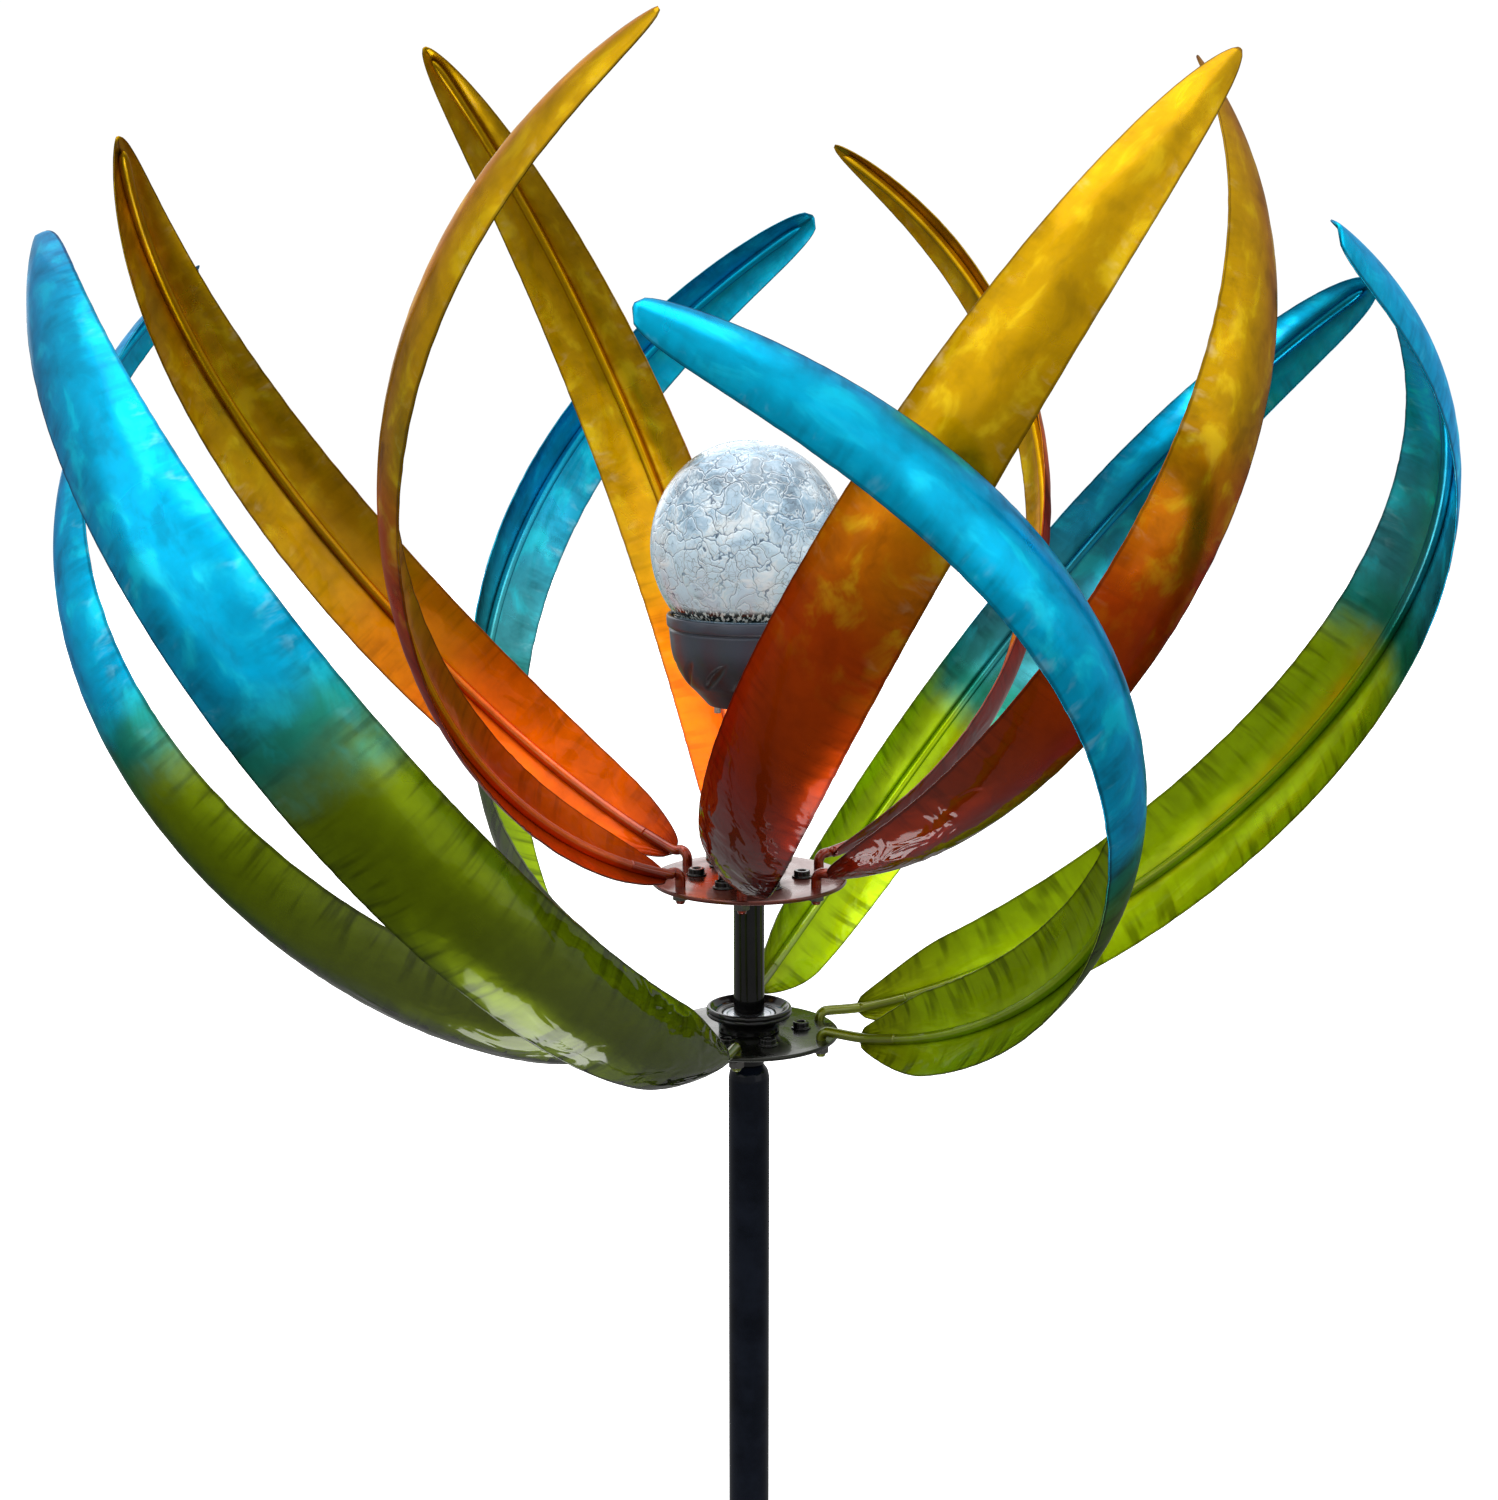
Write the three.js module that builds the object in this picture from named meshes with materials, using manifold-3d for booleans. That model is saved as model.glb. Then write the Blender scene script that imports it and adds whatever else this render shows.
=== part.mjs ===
// Kinetic wind sculpture: two counter-leaning tiers of leaf blades on one shaft, a solar lamp on top
// and a garden pole with a ground fork. Millimetres, +Z up, origin on the pole axis at the ground line.
import * as THREE from "three";
import { mergeVertices } from "three/addons/utils/BufferGeometryUtils.js";
import Module from "manifold-3d";

// ---- driving dimensions (mm and degrees) ----
const GAP = 0.3; // clearance left between pieces that touch on the real object
const ROUND = 20; // sides of a turned piece

const SPIKE_DEPTH = 200; // spike point below the ground line
const SPIKE_TAPER = 40;
const POLE_R = 8.75;
const POLE_WALL = 1.2;
const POLE_JOINTS = [260, 600, 940]; // heights where one section ends and the next begins
const SWAGE_LENGTH = 30; // reduced end that the next section slides over
const FORK_BAR = 8; // square bar of the fork tines
const FORK_REACH = 75;
const FORK_DEPTH = 170;
const FORK_POINT = 25;

const UPPER_HUB_Z = 1360; // top face of the upper hub plate
const LOWER_HUB_Z = 1293; // top face of the lower hub plate
const POLE_TOP_Z = LOWER_HUB_Z - 15;

const SHAFT_R = 4;
const SHAFT_SOCKET = 70; // length of shaft held inside the top pole
const SHAFT_TOP_Z = UPPER_HUB_Z + 62;
const SPACER_R = 6.5;
const NUT_R = 7;
const NUT_H = 6;

const PLATE_T = 2;
const PLATE_BORE_R = 7.4;
const STEM_CIRCLE_R = 33; // where the rib stems pass down through a hub plate
const STEM_HOLE_R = 2.7;
const STEM_BEND_R = 3.5;
const STEM_BELOW = 5.2; // stem end below the plate's underside
const STEM_NUT_R = 3.6;
const STEM_NUT_H = 3.2;

const BEARING_R = 11;
const BEARING_H = 7;
const CUP_FOOT_R = 12.9;
const CUP_LIP_R = 18.1;
const CUP_H = 10.5;

const SHEET_T = 0.8; // blade sheet
const RIB_R = 2.1; // rib and stem wire
const RIB_END = 0.985; // share of the blade's length that the rib covers
const BLADE_STATIONS = 15;
const BLADE_COLUMNS = 4;
const RIB_SIDES = 6;
const RIB_GAP = 0.5; // room for the weld between the sheet and the wire
const AIM_HEIGHT = 150; // blades turn their hollow side to this point on the axis, above their hub

// A tier's blade is a leaf on a cubic spine. The spine's four control points are given as
// [outwards, sideways, up] from the hub's axis and plate, with the blade's own root along +outwards.
// twist: how far the leaf is turned about its spine at the root, the middle and the tip.
// width, fullness and bluntness shape the leaf's outline; hollow is its depth over its half width.
// clocking, lift and stretch: how each blade was set by hand, as turn, rise and length of its own.
const UPPER_TIER = {
  name: "upper",
  hubZ: UPPER_HUB_Z,
  plateR: 41,
  rootAzimuth: -93,
  spine: [
    [40, 0, 4.5],
    [152, -14, 34],
    [258, 72, 217],
    [133, 170, 324],
  ],
  twist: [32, 33, 12],
  halfWidth: 23.2,
  fullness: 0.69,
  bluntness: 0.53,
  rootShare: 0.8,
  hollow: 0.27,
  liftHeading: 72,
  clocking: [-2, 0, -1, 8, -4, 4],
  lift: [-1, 4, -4, 7, -6, 1],
  stretch: [1, 1, 1, 1, 0.98, 1],
};
const LOWER_TIER = {
  name: "lower",
  hubZ: LOWER_HUB_Z,
  plateR: 38,
  rootAzimuth: -93,
  spine: [
    [51, 0, 3],
    [186, -34, 17],
    [318, -178, 225],
    [80, -277, 328],
  ],
  twist: [-64, -31, -6],
  halfWidth: 23.5,
  fullness: 0.71,
  bluntness: 0.34,
  rootShare: 0.42,
  hollow: 0.42,
  liftHeading: 0,
  clocking: [-6, 9, -3, 0, 0, 8.5],
  lift: [5, 0, 1, 0, -12, -7],
  stretch: [1, 0.93, 1, 0.95, 1.1, 0.985],
};
const BLADES_PER_TIER = 6;
const ROOT_HALF_WIDTH = 3.5;
// Over this share of its length from the root, a leaf narrows to rootShare of its full outline.
const ROOT_LENGTH = 0.085;
const TIP_HALF_WIDTH = 2;

const LAMP_Z = UPPER_HUB_Z; // lamp heights below are counted from the upper hub plate
const SOCKET_R = 8;
const SOCKET_FROM = 17;
const CUP_BOTTOM = 73.7;
const CUP_RIM = 111.3;
const LAMP_WALL = 1.8;
const GLOBE_R = 40.3;
const GLOBE_CENTRE = 139;
const GLOBE_HALF_HEIGHT = 43;
const GLOBE_NECK_R = 33.6;
const GLOBE_WALL = 2.4;
const PANEL_R = 31;
const BATTERY_R = 5.2;
const BATTERY_L = 44;
const SWITCH_SLOT = [7, 3.4]; // slot in the lamp's base cover, along X and Y
const SWITCH_Y = 11.6;

// ---- materials ----
const paint = (color, roughness, metalness) =>
  new THREE.MeshStandardMaterial({ color, roughness, metalness });
const MATERIALS = {
  upper_paint: paint(0xc9761a, 0.3, 0.7),
  lower_paint: paint(0x4c8a2e, 0.3, 0.7),
  upper_wire: paint(0xb5651d, 0.35, 0.7),
  lower_wire: paint(0x6b7a1e, 0.35, 0.7),
  copper_plate: paint(0x5a2418, 0.3, 0.8),
  dark_plate: paint(0x23291c, 0.3, 0.8),
  black_paint: paint(0x131418, 0.3, 0.6),
  pole_paint: paint(0x1b222c, 0.3, 0.6),
  steel: paint(0x9a9ca0, 0.35, 1),
  zinc: paint(0x53504c, 0.45, 1),
  black_plastic: paint(0x1d1f26, 0.5, 0),
  glass: new THREE.MeshStandardMaterial({
    color: 0xdde8ee,
    roughness: 0.05,
    transparent: true,
    opacity: 0.4,
  }),
  solar_cell: paint(0x0c1a20, 0.2, 0.2),
  circuit_board: paint(0x1d5a34, 0.5, 0),
  battery_wrap: paint(0x3a6ea5, 0.4, 0.1),
};

// ---- geometry helpers ----
const vec = (x, y, z) => new THREE.Vector3(x, y, z);
const rad = THREE.MathUtils.degToRad;
const Z_AXIS = vec(0, 0, 1);

const object = new THREE.Group();

function add(name, geometry, material, parent = object) {
  const mesh = new THREE.Mesh(geometry, MATERIALS[material]);
  mesh.name = name;
  parent.add(mesh);
  return mesh;
}

// A turned piece: [radius, height] pairs that close on themselves or start and end on the axis,
// given with the piece's outside going upwards.
function turned(profile, sides = ROUND) {
  const points = profile.map(([r, z]) => new THREE.Vector2(r, z));
  return new THREE.LatheGeometry(points, sides).rotateX(Math.PI / 2);
}

// A plain ring or tube between two heights.
function ring(inner, outer, low, high, sides = ROUND) {
  return turned([[inner, low], [outer, low], [outer, high], [inner, high], [inner, low]], sides);
}

function hexNut(bore, radius, low, high) {
  const corner = (i) => new THREE.Vector2(radius, 0).rotateAround(new THREE.Vector2(), (i * Math.PI) / 3);
  const shape = new THREE.Shape([0, 1, 2, 3, 4, 5].map(corner));
  shape.holes.push(new THREE.Path().absarc(0, 0, bore, 0, 2 * Math.PI));
  const nut = new THREE.ExtrudeGeometry(shape, { depth: high - low, bevelEnabled: false, curveSegments: 5 });
  return nut.translate(0, 0, low);
}

function rod(radius, low, high, sides = ROUND) {
  return turned([[0, low], [radius, low], [radius, high], [0, high]], sides);
}

// A closed skin through a row of rings that all have the same even number of points. Each end is
// closed by quads that pair a ring's first half with its second half.
function loft(rings) {
  const count = rings[0].length;
  const positions = rings.flat().flatMap((p) => [p.x, p.y, p.z]);
  const faces = [];
  const quad = (a, b, c, d) => faces.push(a, b, c, a, c, d);
  for (let i = 0; i + 1 < rings.length; i++) {
    for (let j = 0; j < count; j++) {
      const k = (j + 1) % count;
      quad(i * count + j, i * count + k, (i + 1) * count + k, (i + 1) * count + j);
    }
  }
  const last = (rings.length - 1) * count;
  for (let j = 0; j + 1 < count / 2; j++) {
    const k = count - 1 - j;
    quad(j, k, k - 1, j + 1);
    quad(last + j, last + j + 1, last + k - 1, last + k);
  }
  const geometry = new THREE.BufferGeometry();
  geometry.setAttribute("position", new THREE.Float32BufferAttribute(positions, 3));
  geometry.setIndex(faces);
  return geometry;
}

// The value at u of the parabola through a at 0, b at 1/2 and c at 1.
function through([a, b, c], u) {
  return a * (1 - u) * (1 - 2 * u) + 4 * b * u * (1 - u) + c * u * (2 * u - 1);
}

// ---- blades and ribs ----
const spineOf = (tier) => new THREE.CubicBezierCurve3(...tier.spine.map((p) => vec(...p)));

// Place, width direction and hollow-side direction of a blade at the share u of its length.
function bladeFrame(tier, spine, u) {
  const point = spine.getPointAt(u);
  const along = spine.getTangentAt(u);
  const inwards = vec(0, 0, AIM_HEIGHT).sub(point);
  inwards.addScaledVector(along, -inwards.dot(along)).normalize();
  const across = along.clone().cross(inwards);
  const twist = rad(through(tier.twist, u));
  const side = across.clone().multiplyScalar(Math.cos(twist));
  side.addScaledVector(inwards, Math.sin(twist));
  const hollow = inwards.multiplyScalar(Math.cos(twist));
  hollow.addScaledVector(across, -Math.sin(twist));
  return { point, along, side, hollow };
}

// Half the leaf's width: zero at both ends but for a neck at the root and a round tip.
function halfWidth(tier, u) {
  const open = Math.sin((Math.PI / 2) * Math.min(u / ROOT_LENGTH, 1));
  const narrowed = tier.rootShare + (1 - tier.rootShare) * open;
  const leaf = narrowed * tier.halfWidth * Math.sin(Math.PI * u ** tier.fullness) ** tier.bluntness;
  return Math.max(leaf, u < 0.5 ? ROOT_HALF_WIDTH : TIP_HALF_WIDTH);
}

// One section of the sheet: a row on its hollow side, and back along its outer side.
function bladeSection(tier, spine, u) {
  const { point, side, hollow } = bladeFrame(tier, spine, u);
  const half = halfWidth(tier, u);
  const row = (offset) =>
    Array.from({ length: BLADE_COLUMNS + 1 }, (_, i) => {
      const v = (2 * i) / BLADE_COLUMNS - 1;
      const depth = tier.hollow * half * v * v + offset;
      return point.clone().addScaledVector(side, v * half).addScaledVector(hollow, depth);
    });
  return [...row(SHEET_T / 2), ...row(-SHEET_T / 2).reverse()];
}

// Stations closer together towards both ends, where the outline turns fast.
function bladeStations(count) {
  return Array.from({ length: count }, (_, i) => {
    const u = i / (count - 1);
    return THREE.MathUtils.clamp(u - 0.08 * Math.sin(2 * Math.PI * u), 0, 1);
  });
}

function bladeGeometry(tier) {
  const spine = spineOf(tier);
  return loft(bladeStations(BLADE_STATIONS).map((u) => bladeSection(tier, spine, u)));
}

// The wire's centre line: up through the plate, a bend outwards, then along the blade's hollow side.
function ribPath(tier) {
  const spine = spineOf(tier);
  const lift = SHEET_T / 2 + RIB_GAP + RIB_R;
  const onBlade = (u) => {
    const { point, hollow } = bladeFrame(tier, spine, u);
    return point.addScaledVector(hollow, lift);
  };
  const root = onBlade(0);
  const path = [vec(STEM_CIRCLE_R, 0, -PLATE_T - STEM_BELOW)];
  for (const turn of [0, 30, 60, 90]) {
    const across = STEM_BEND_R * (1 - Math.cos(rad(turn)));
    const below = STEM_BEND_R * (1 - Math.sin(rad(turn)));
    path.push(vec(STEM_CIRCLE_R + across, 0, root.z - below));
  }
  for (const u of bladeStations(BLADE_STATIONS)) path.push(onBlade(Math.min(u, RIB_END)));
  return path;
}

// A round wire along a path, with its ring turned as little as possible from one point to the next.
function wire(path, radius, sides) {
  const rings = [];
  let normal = vec(0, 1, 0);
  path.forEach((point, i) => {
    const before = path[Math.max(i - 1, 0)];
    const after = path[Math.min(i + 1, path.length - 1)];
    const along = after.clone().sub(before).normalize();
    normal = normal.clone().addScaledVector(along, -normal.dot(along)).normalize();
    const across = along.clone().cross(normal);
    rings.push(
      Array.from({ length: sides }, (_, j) => {
        const turn = (2 * Math.PI * j) / sides;
        const out = normal.clone().multiplyScalar(radius * Math.cos(turn));
        return out.addScaledVector(across, radius * Math.sin(turn)).add(point);
      }),
    );
  });
  return loft(rings);
}

// Turns, raises and stretches a blade about its root, as it was set by hand.
function setBlade(geometry, tier, index) {
  const root = vec(...tier.spine[0]);
  const heading = vec(Math.cos(rad(tier.liftHeading)), Math.sin(rad(tier.liftHeading)), 0);
  const hinge = heading.cross(Z_AXIS);
  geometry.translate(-root.x, -root.y, -root.z);
  geometry.applyMatrix4(new THREE.Matrix4().makeRotationAxis(hinge, rad(tier.lift[index])));
  const stretch = tier.stretch[index];
  geometry.scale(stretch, stretch, stretch);
  geometry.translate(root.x, root.y, root.z);
  return geometry;
}

// ---- rotors ----
function hubPlate(tier) {
  const shape = new THREE.Shape().absarc(0, 0, tier.plateR, 0, 2 * Math.PI);
  shape.holes.push(new THREE.Path().absarc(0, 0, PLATE_BORE_R, 0, 2 * Math.PI));
  for (let i = 0; i < BLADES_PER_TIER; i++) {
    const turn = rad(bladeAzimuth(tier, i));
    const x = STEM_CIRCLE_R * Math.cos(turn);
    const y = STEM_CIRCLE_R * Math.sin(turn);
    shape.holes.push(new THREE.Path().absarc(x, y, STEM_HOLE_R, 0, 2 * Math.PI));
  }
  const plate = new THREE.ExtrudeGeometry(shape, {
    depth: PLATE_T,
    bevelEnabled: false,
    curveSegments: 14,
  });
  return plate.translate(0, 0, -PLATE_T);
}

// The open-topped bearing cup: a straight foot round the bearing that flares to a rolled lip.
function hubCup() {
  const foot = GAP;
  const shelf = GAP + BEARING_H + 0.2;
  const lip = GAP + CUP_H;
  return turned([
    [BEARING_R + GAP, foot],
    [CUP_FOOT_R, foot],
    [CUP_FOOT_R + 1.1, foot + 4],
    [CUP_LIP_R - 2.2, lip - 3.4],
    [CUP_LIP_R, lip - 2.6],
    [CUP_LIP_R, lip - 0.8],
    [CUP_LIP_R - 0.8, lip],
    [CUP_LIP_R - 2.4, lip - 0.4],
    [BEARING_R + GAP, shelf],
    [BEARING_R + GAP, foot],
  ]);
}

const bladeAzimuth = (tier, index) =>
  tier.rootAzimuth + (360 / BLADES_PER_TIER) * index + tier.clocking[index];

function rotor(tier, plateMaterial) {
  const hub = new THREE.Group();
  hub.position.z = tier.hubZ;
  object.add(hub);
  add(`${tier.name}_hub_plate`, hubPlate(tier), plateMaterial, hub);
  add(`${tier.name}_bearing_cup`, hubCup(), "black_paint", hub);
  const bearing = ring(SHAFT_R + GAP, BEARING_R, GAP, GAP + BEARING_H);
  add(`${tier.name}_bearing`, bearing, "steel", hub);
  for (let i = 0; i < BLADES_PER_TIER; i++) {
    const arm = new THREE.Group();
    arm.rotation.z = rad(bladeAzimuth(tier, i));
    hub.add(arm);
    const number = i + 1;
    add(`${tier.name}_blade_${number}`, setBlade(bladeGeometry(tier), tier, i), `${tier.name}_paint`, arm);
    add(`${tier.name}_rib_${number}`, ribGeometry(tier, i), `${tier.name}_wire`, arm);
    const nut = hexNut(STEM_HOLE_R, STEM_NUT_R, -STEM_NUT_H, 0);
    nut.translate(STEM_CIRCLE_R, 0, -PLATE_T - GAP);
    add(`${tier.name}_stem_nut_${number}`, nut, "zinc", arm);
  }
}

// The rib follows its own blade as it was set, while its stem stays upright in the plate.
function ribGeometry(tier, index) {
  const path = ribPath(tier);
  const stemPoints = 5;
  const onBlade = new THREE.BufferGeometry().setFromPoints(path.slice(stemPoints));
  const set = setBlade(onBlade, tier, index).getAttribute("position");
  const blade = Array.from({ length: set.count }, (_, i) => vec(0, 0, 0).fromBufferAttribute(set, i));
  return wire([...path.slice(0, stemPoints), ...blade], RIB_R, RIB_SIDES);
}

// ---- pole, fork and shaft ----
function poleSection(low, high, swaged) {
  const inner = POLE_R - POLE_WALL;
  const neck = inner - GAP;
  const top = swaged ? high + SWAGE_LENGTH : high;
  const profile = [[inner, low], [POLE_R, low], [POLE_R, high - GAP]];
  if (swaged) {
    profile.push([neck, high - GAP], [neck, top], [neck - POLE_WALL, top]);
    profile.push([neck - POLE_WALL, high - 6], [inner, high - 12]);
  }
  return [...profile, [inner, low]];
}

function bottomPole() {
  const inner = POLE_R - POLE_WALL;
  const neck = inner - GAP;
  const high = POLE_JOINTS[0];
  return turned([
    [0, -SPIKE_DEPTH],
    [POLE_R, -SPIKE_DEPTH + SPIKE_TAPER],
    [POLE_R, high - GAP],
    [neck, high - GAP],
    [neck, high + SWAGE_LENGTH],
    [neck - POLE_WALL, high + SWAGE_LENGTH],
    [neck - POLE_WALL, -SPIKE_DEPTH + SPIKE_TAPER],
    [0, -SPIKE_DEPTH + SPIKE_TAPER - 6],
  ]);
}

// The top section closes in over a rounded shoulder to a hole for the shaft.
function topPole() {
  const inner = POLE_R - POLE_WALL;
  const low = POLE_JOINTS[2];
  const bore = SHAFT_R + GAP;
  return turned([
    [inner, low],
    [POLE_R, low],
    [POLE_R, POLE_TOP_Z - 4],
    [POLE_R - 0.6, POLE_TOP_Z - 1.6],
    [POLE_R - 2.2, POLE_TOP_Z],
    [bore, POLE_TOP_Z],
    [bore, POLE_TOP_Z - SHAFT_SOCKET],
    [inner, POLE_TOP_Z - SHAFT_SOCKET],
    [inner, low],
  ]);
}

// A fork tine: a square bar that leaves the pole level, on the ground, and bends down to a chisel point.
function forkTine(direction) {
  const start = POLE_R + GAP;
  const shape = new THREE.Shape();
  shape.moveTo(start, 0);
  shape.lineTo(FORK_REACH - FORK_BAR, 0);
  shape.lineTo(FORK_REACH - FORK_BAR, -FORK_DEPTH + FORK_POINT);
  shape.lineTo(FORK_REACH, -FORK_DEPTH);
  shape.lineTo(FORK_REACH, FORK_BAR - 4);
  shape.absarc(FORK_REACH - 4, FORK_BAR - 4, 4, 0, Math.PI / 2);
  shape.lineTo(start, FORK_BAR);
  const bar = new THREE.ExtrudeGeometry(shape, { depth: FORK_BAR, bevelEnabled: false, curveSegments: 4 });
  bar.translate(0, 0, -FORK_BAR / 2).rotateX(Math.PI / 2);
  return bar.rotateZ(direction > 0 ? 0 : Math.PI);
}

function stand() {
  add("bottom_pole", bottomPole(), "pole_paint");
  add("lower_pole", turned(poleSection(POLE_JOINTS[0], POLE_JOINTS[1], true)), "pole_paint");
  add("middle_pole", turned(poleSection(POLE_JOINTS[1], POLE_JOINTS[2], true)), "pole_paint");
  add("top_pole", topPole(), "pole_paint");
  add("fork_tine_right", forkTine(1), "pole_paint");
  add("fork_tine_left", forkTine(-1), "pole_paint");
}

function shaft() {
  add("rotor_shaft", rod(SHAFT_R, POLE_TOP_Z - SHAFT_SOCKET + 2, SHAFT_TOP_Z), "steel");
  const bore = SHAFT_R + GAP;
  add("lower_spacer", ring(bore, SPACER_R, POLE_TOP_Z + GAP, LOWER_HUB_Z), "black_paint");
  const spacerLow = LOWER_HUB_Z + BEARING_H + 2 * GAP;
  add("middle_spacer", ring(bore, SPACER_R, spacerLow, UPPER_HUB_Z), "black_paint");
  const nutLow = UPPER_HUB_Z + BEARING_H + 2 * GAP;
  add("shaft_lock_nut", hexNut(bore + 0.2, NUT_R, nutLow, nutLow + NUT_H), "zinc");
}

// ---- lamp ----
function lampCup() {
  const bottomHole = 16;
  return turned([
    [bottomHole, CUP_BOTTOM],
    [bottomHole + 1, CUP_BOTTOM],
    [21.9, 79.1],
    [26, 83.3],
    [29.7, 89.6],
    [31.8, 95.8],
    [33, 105.2],
    [32.5, 105.8],
    [33.6, 106.4],
    [33.8, CUP_RIM],
    [33.8 - LAMP_WALL, CUP_RIM],
    [31.8 - LAMP_WALL, 95.8],
    [29.7 - LAMP_WALL, 90.4],
    [26 - LAMP_WALL, 85.2],
    [21.9 - LAMP_WALL, 81.2],
    [bottomHole, 76.6],
    [bottomHole, CUP_BOTTOM],
  ]);
}

// The globe is an egg standing upright, cut off at the cup's rim and open there.
function lampGlobe() {
  const neck = CUP_RIM + GAP;
  const outer = [];
  const inner = [];
  const lowest = -Math.asin((GLOBE_CENTRE - neck) / GLOBE_HALF_HEIGHT);
  const steps = 9;
  for (let i = 0; i <= steps; i++) {
    const turn = lowest + ((Math.PI / 2 - lowest) * i) / steps;
    const r = Math.cos(turn);
    const z = Math.sin(turn);
    outer.push([GLOBE_R * r, GLOBE_CENTRE + GLOBE_HALF_HEIGHT * z]);
    inner.push([(GLOBE_R - GLOBE_WALL) * r, GLOBE_CENTRE + (GLOBE_HALF_HEIGHT - GLOBE_WALL) * z]);
  }
  outer[steps][0] = 0;
  inner[steps][0] = 0;
  inner[0][1] = neck;
  return turned([...outer, ...inner.reverse(), outer[0]].slice(0, -1).concat([[outer[0][0], neck]]));
}

function lampBaseCover() {
  const shape = new THREE.Shape().absarc(0, 0, 16 - GAP, 0, 2 * Math.PI);
  shape.holes.push(new THREE.Path().absarc(0, 0, SOCKET_R + GAP, 0, 2 * Math.PI));
  const [sx, sy] = SWITCH_SLOT;
  const slot = new THREE.Path();
  slot.moveTo(-sx / 2, SWITCH_Y - sy / 2);
  slot.lineTo(-sx / 2, SWITCH_Y + sy / 2);
  slot.lineTo(sx / 2, SWITCH_Y + sy / 2);
  slot.lineTo(sx / 2, SWITCH_Y - sy / 2);
  shape.holes.push(slot);
  const cover = new THREE.ExtrudeGeometry(shape, { depth: 2, bevelEnabled: false, curveSegments: 12 });
  return cover.translate(0, 0, CUP_BOTTOM + 0.6);
}

// The slider's knob hangs through the slot and its flat back rests on the cover's inner face.
function lampSwitch(wasm) {
  const knob = new THREE.BoxGeometry(2.6, 2.6, 4.6).translate(-1.8, SWITCH_Y, CUP_BOTTOM + 0.8);
  const back = new THREE.BoxGeometry(5, 3, 1).translate(-1.8, SWITCH_Y, CUP_BOTTOM + 3.4);
  return joined(wasm, knob, back);
}

function solid(wasm, geometry) {
  const plain = geometry.clone();
  plain.deleteAttribute("normal");
  plain.deleteAttribute("uv");
  const merged = mergeVertices(plain);
  const mesh = new wasm.Mesh({
    numProp: 3,
    vertProperties: new Float32Array(merged.attributes.position.array),
    triVerts: new Uint32Array(merged.index.array),
  });
  return new wasm.Manifold(mesh);
}

function joined(wasm, first, second) {
  const mesh = solid(wasm, first).add(solid(wasm, second)).getMesh();
  const geometry = new THREE.BufferGeometry();
  geometry.setAttribute("position", new THREE.BufferAttribute(mesh.vertProperties, 3));
  geometry.setIndex(new THREE.BufferAttribute(mesh.triVerts, 1));
  return geometry;
}

// The tube that slips over the shaft's end, closed at the top, with a flange inside the cup.
function lampSocket() {
  const bore = SHAFT_R + GAP;
  const top = CUP_BOTTOM + 6;
  return turned([
    [bore, SOCKET_FROM],
    [SOCKET_R, SOCKET_FROM],
    [SOCKET_R, top - 2],
    [12, top - 2],
    [12, top],
    [0, top],
    [0, SHAFT_TOP_Z - LAMP_Z + 1],
    [bore, SHAFT_TOP_Z - LAMP_Z + 1],
    [bore, SOCKET_FROM],
  ]);
}

function lamp(wasm) {
  const group = new THREE.Group();
  group.position.z = LAMP_Z;
  object.add(group);
  add("lamp_socket", lampSocket(), "steel", group);
  add("lamp_cup", lampCup(), "black_plastic", group);
  add("lamp_base_cover", lampBaseCover(), "black_plastic", group);
  add("lamp_switch", lampSwitch(wasm), "black_plastic", group);
  add("solar_panel", rod(PANEL_R, CUP_RIM - 2.2, CUP_RIM - 0.4), "solar_cell", group);
  const board = new THREE.BoxGeometry(30, 22, 1.6).translate(0, 0, CUP_RIM - 6);
  add("light_board", board, "circuit_board", group);
  const cell = rod(BATTERY_R, -BATTERY_L / 2, BATTERY_L / 2, 12).rotateY(Math.PI / 2);
  add("battery_cell", cell.translate(0, 0, 91), "battery_wrap", group);
  add("lamp_globe", lampGlobe(), "glass", group);
}

const wasm = await Module();
wasm.setup();
stand();
shaft();
rotor(LOWER_TIER, "dark_plate");
rotor(UPPER_TIER, "copper_plate");
lamp(wasm);

export default object;
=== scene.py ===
"""Looks of a garden wind spinner: two tiers of painted leaf blades, a globe lamp, a pole and a fork.

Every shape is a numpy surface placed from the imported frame, in metres, +Z up.
"""

import math

import bpy
import numpy as np
from bpy.props import FloatProperty, FloatVectorProperty, IntProperty, PointerProperty
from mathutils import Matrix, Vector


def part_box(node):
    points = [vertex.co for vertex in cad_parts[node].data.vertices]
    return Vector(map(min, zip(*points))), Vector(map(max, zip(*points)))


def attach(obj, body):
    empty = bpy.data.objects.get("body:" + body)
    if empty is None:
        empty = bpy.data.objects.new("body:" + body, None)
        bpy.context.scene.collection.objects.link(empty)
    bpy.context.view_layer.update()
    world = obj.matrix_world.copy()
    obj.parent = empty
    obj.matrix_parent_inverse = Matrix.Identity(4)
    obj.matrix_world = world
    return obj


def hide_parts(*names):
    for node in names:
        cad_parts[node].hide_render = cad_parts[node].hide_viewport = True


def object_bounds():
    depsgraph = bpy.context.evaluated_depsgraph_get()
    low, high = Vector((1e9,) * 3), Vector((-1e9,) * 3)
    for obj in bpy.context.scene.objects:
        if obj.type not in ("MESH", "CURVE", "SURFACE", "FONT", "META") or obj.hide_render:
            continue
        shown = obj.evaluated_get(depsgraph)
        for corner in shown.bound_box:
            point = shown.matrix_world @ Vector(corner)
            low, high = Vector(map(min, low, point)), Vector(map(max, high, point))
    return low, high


bl_info = {
    "name": "Wind Spinner",
    "version": (1, 0, 0),
    "blender": (4, 5, 0),
    "location": "View3D > Sidebar > Wind Spinner",
    "description": "Builds the finished surfaces of a two-tier garden wind spinner",
    "category": "Object",
}

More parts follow.
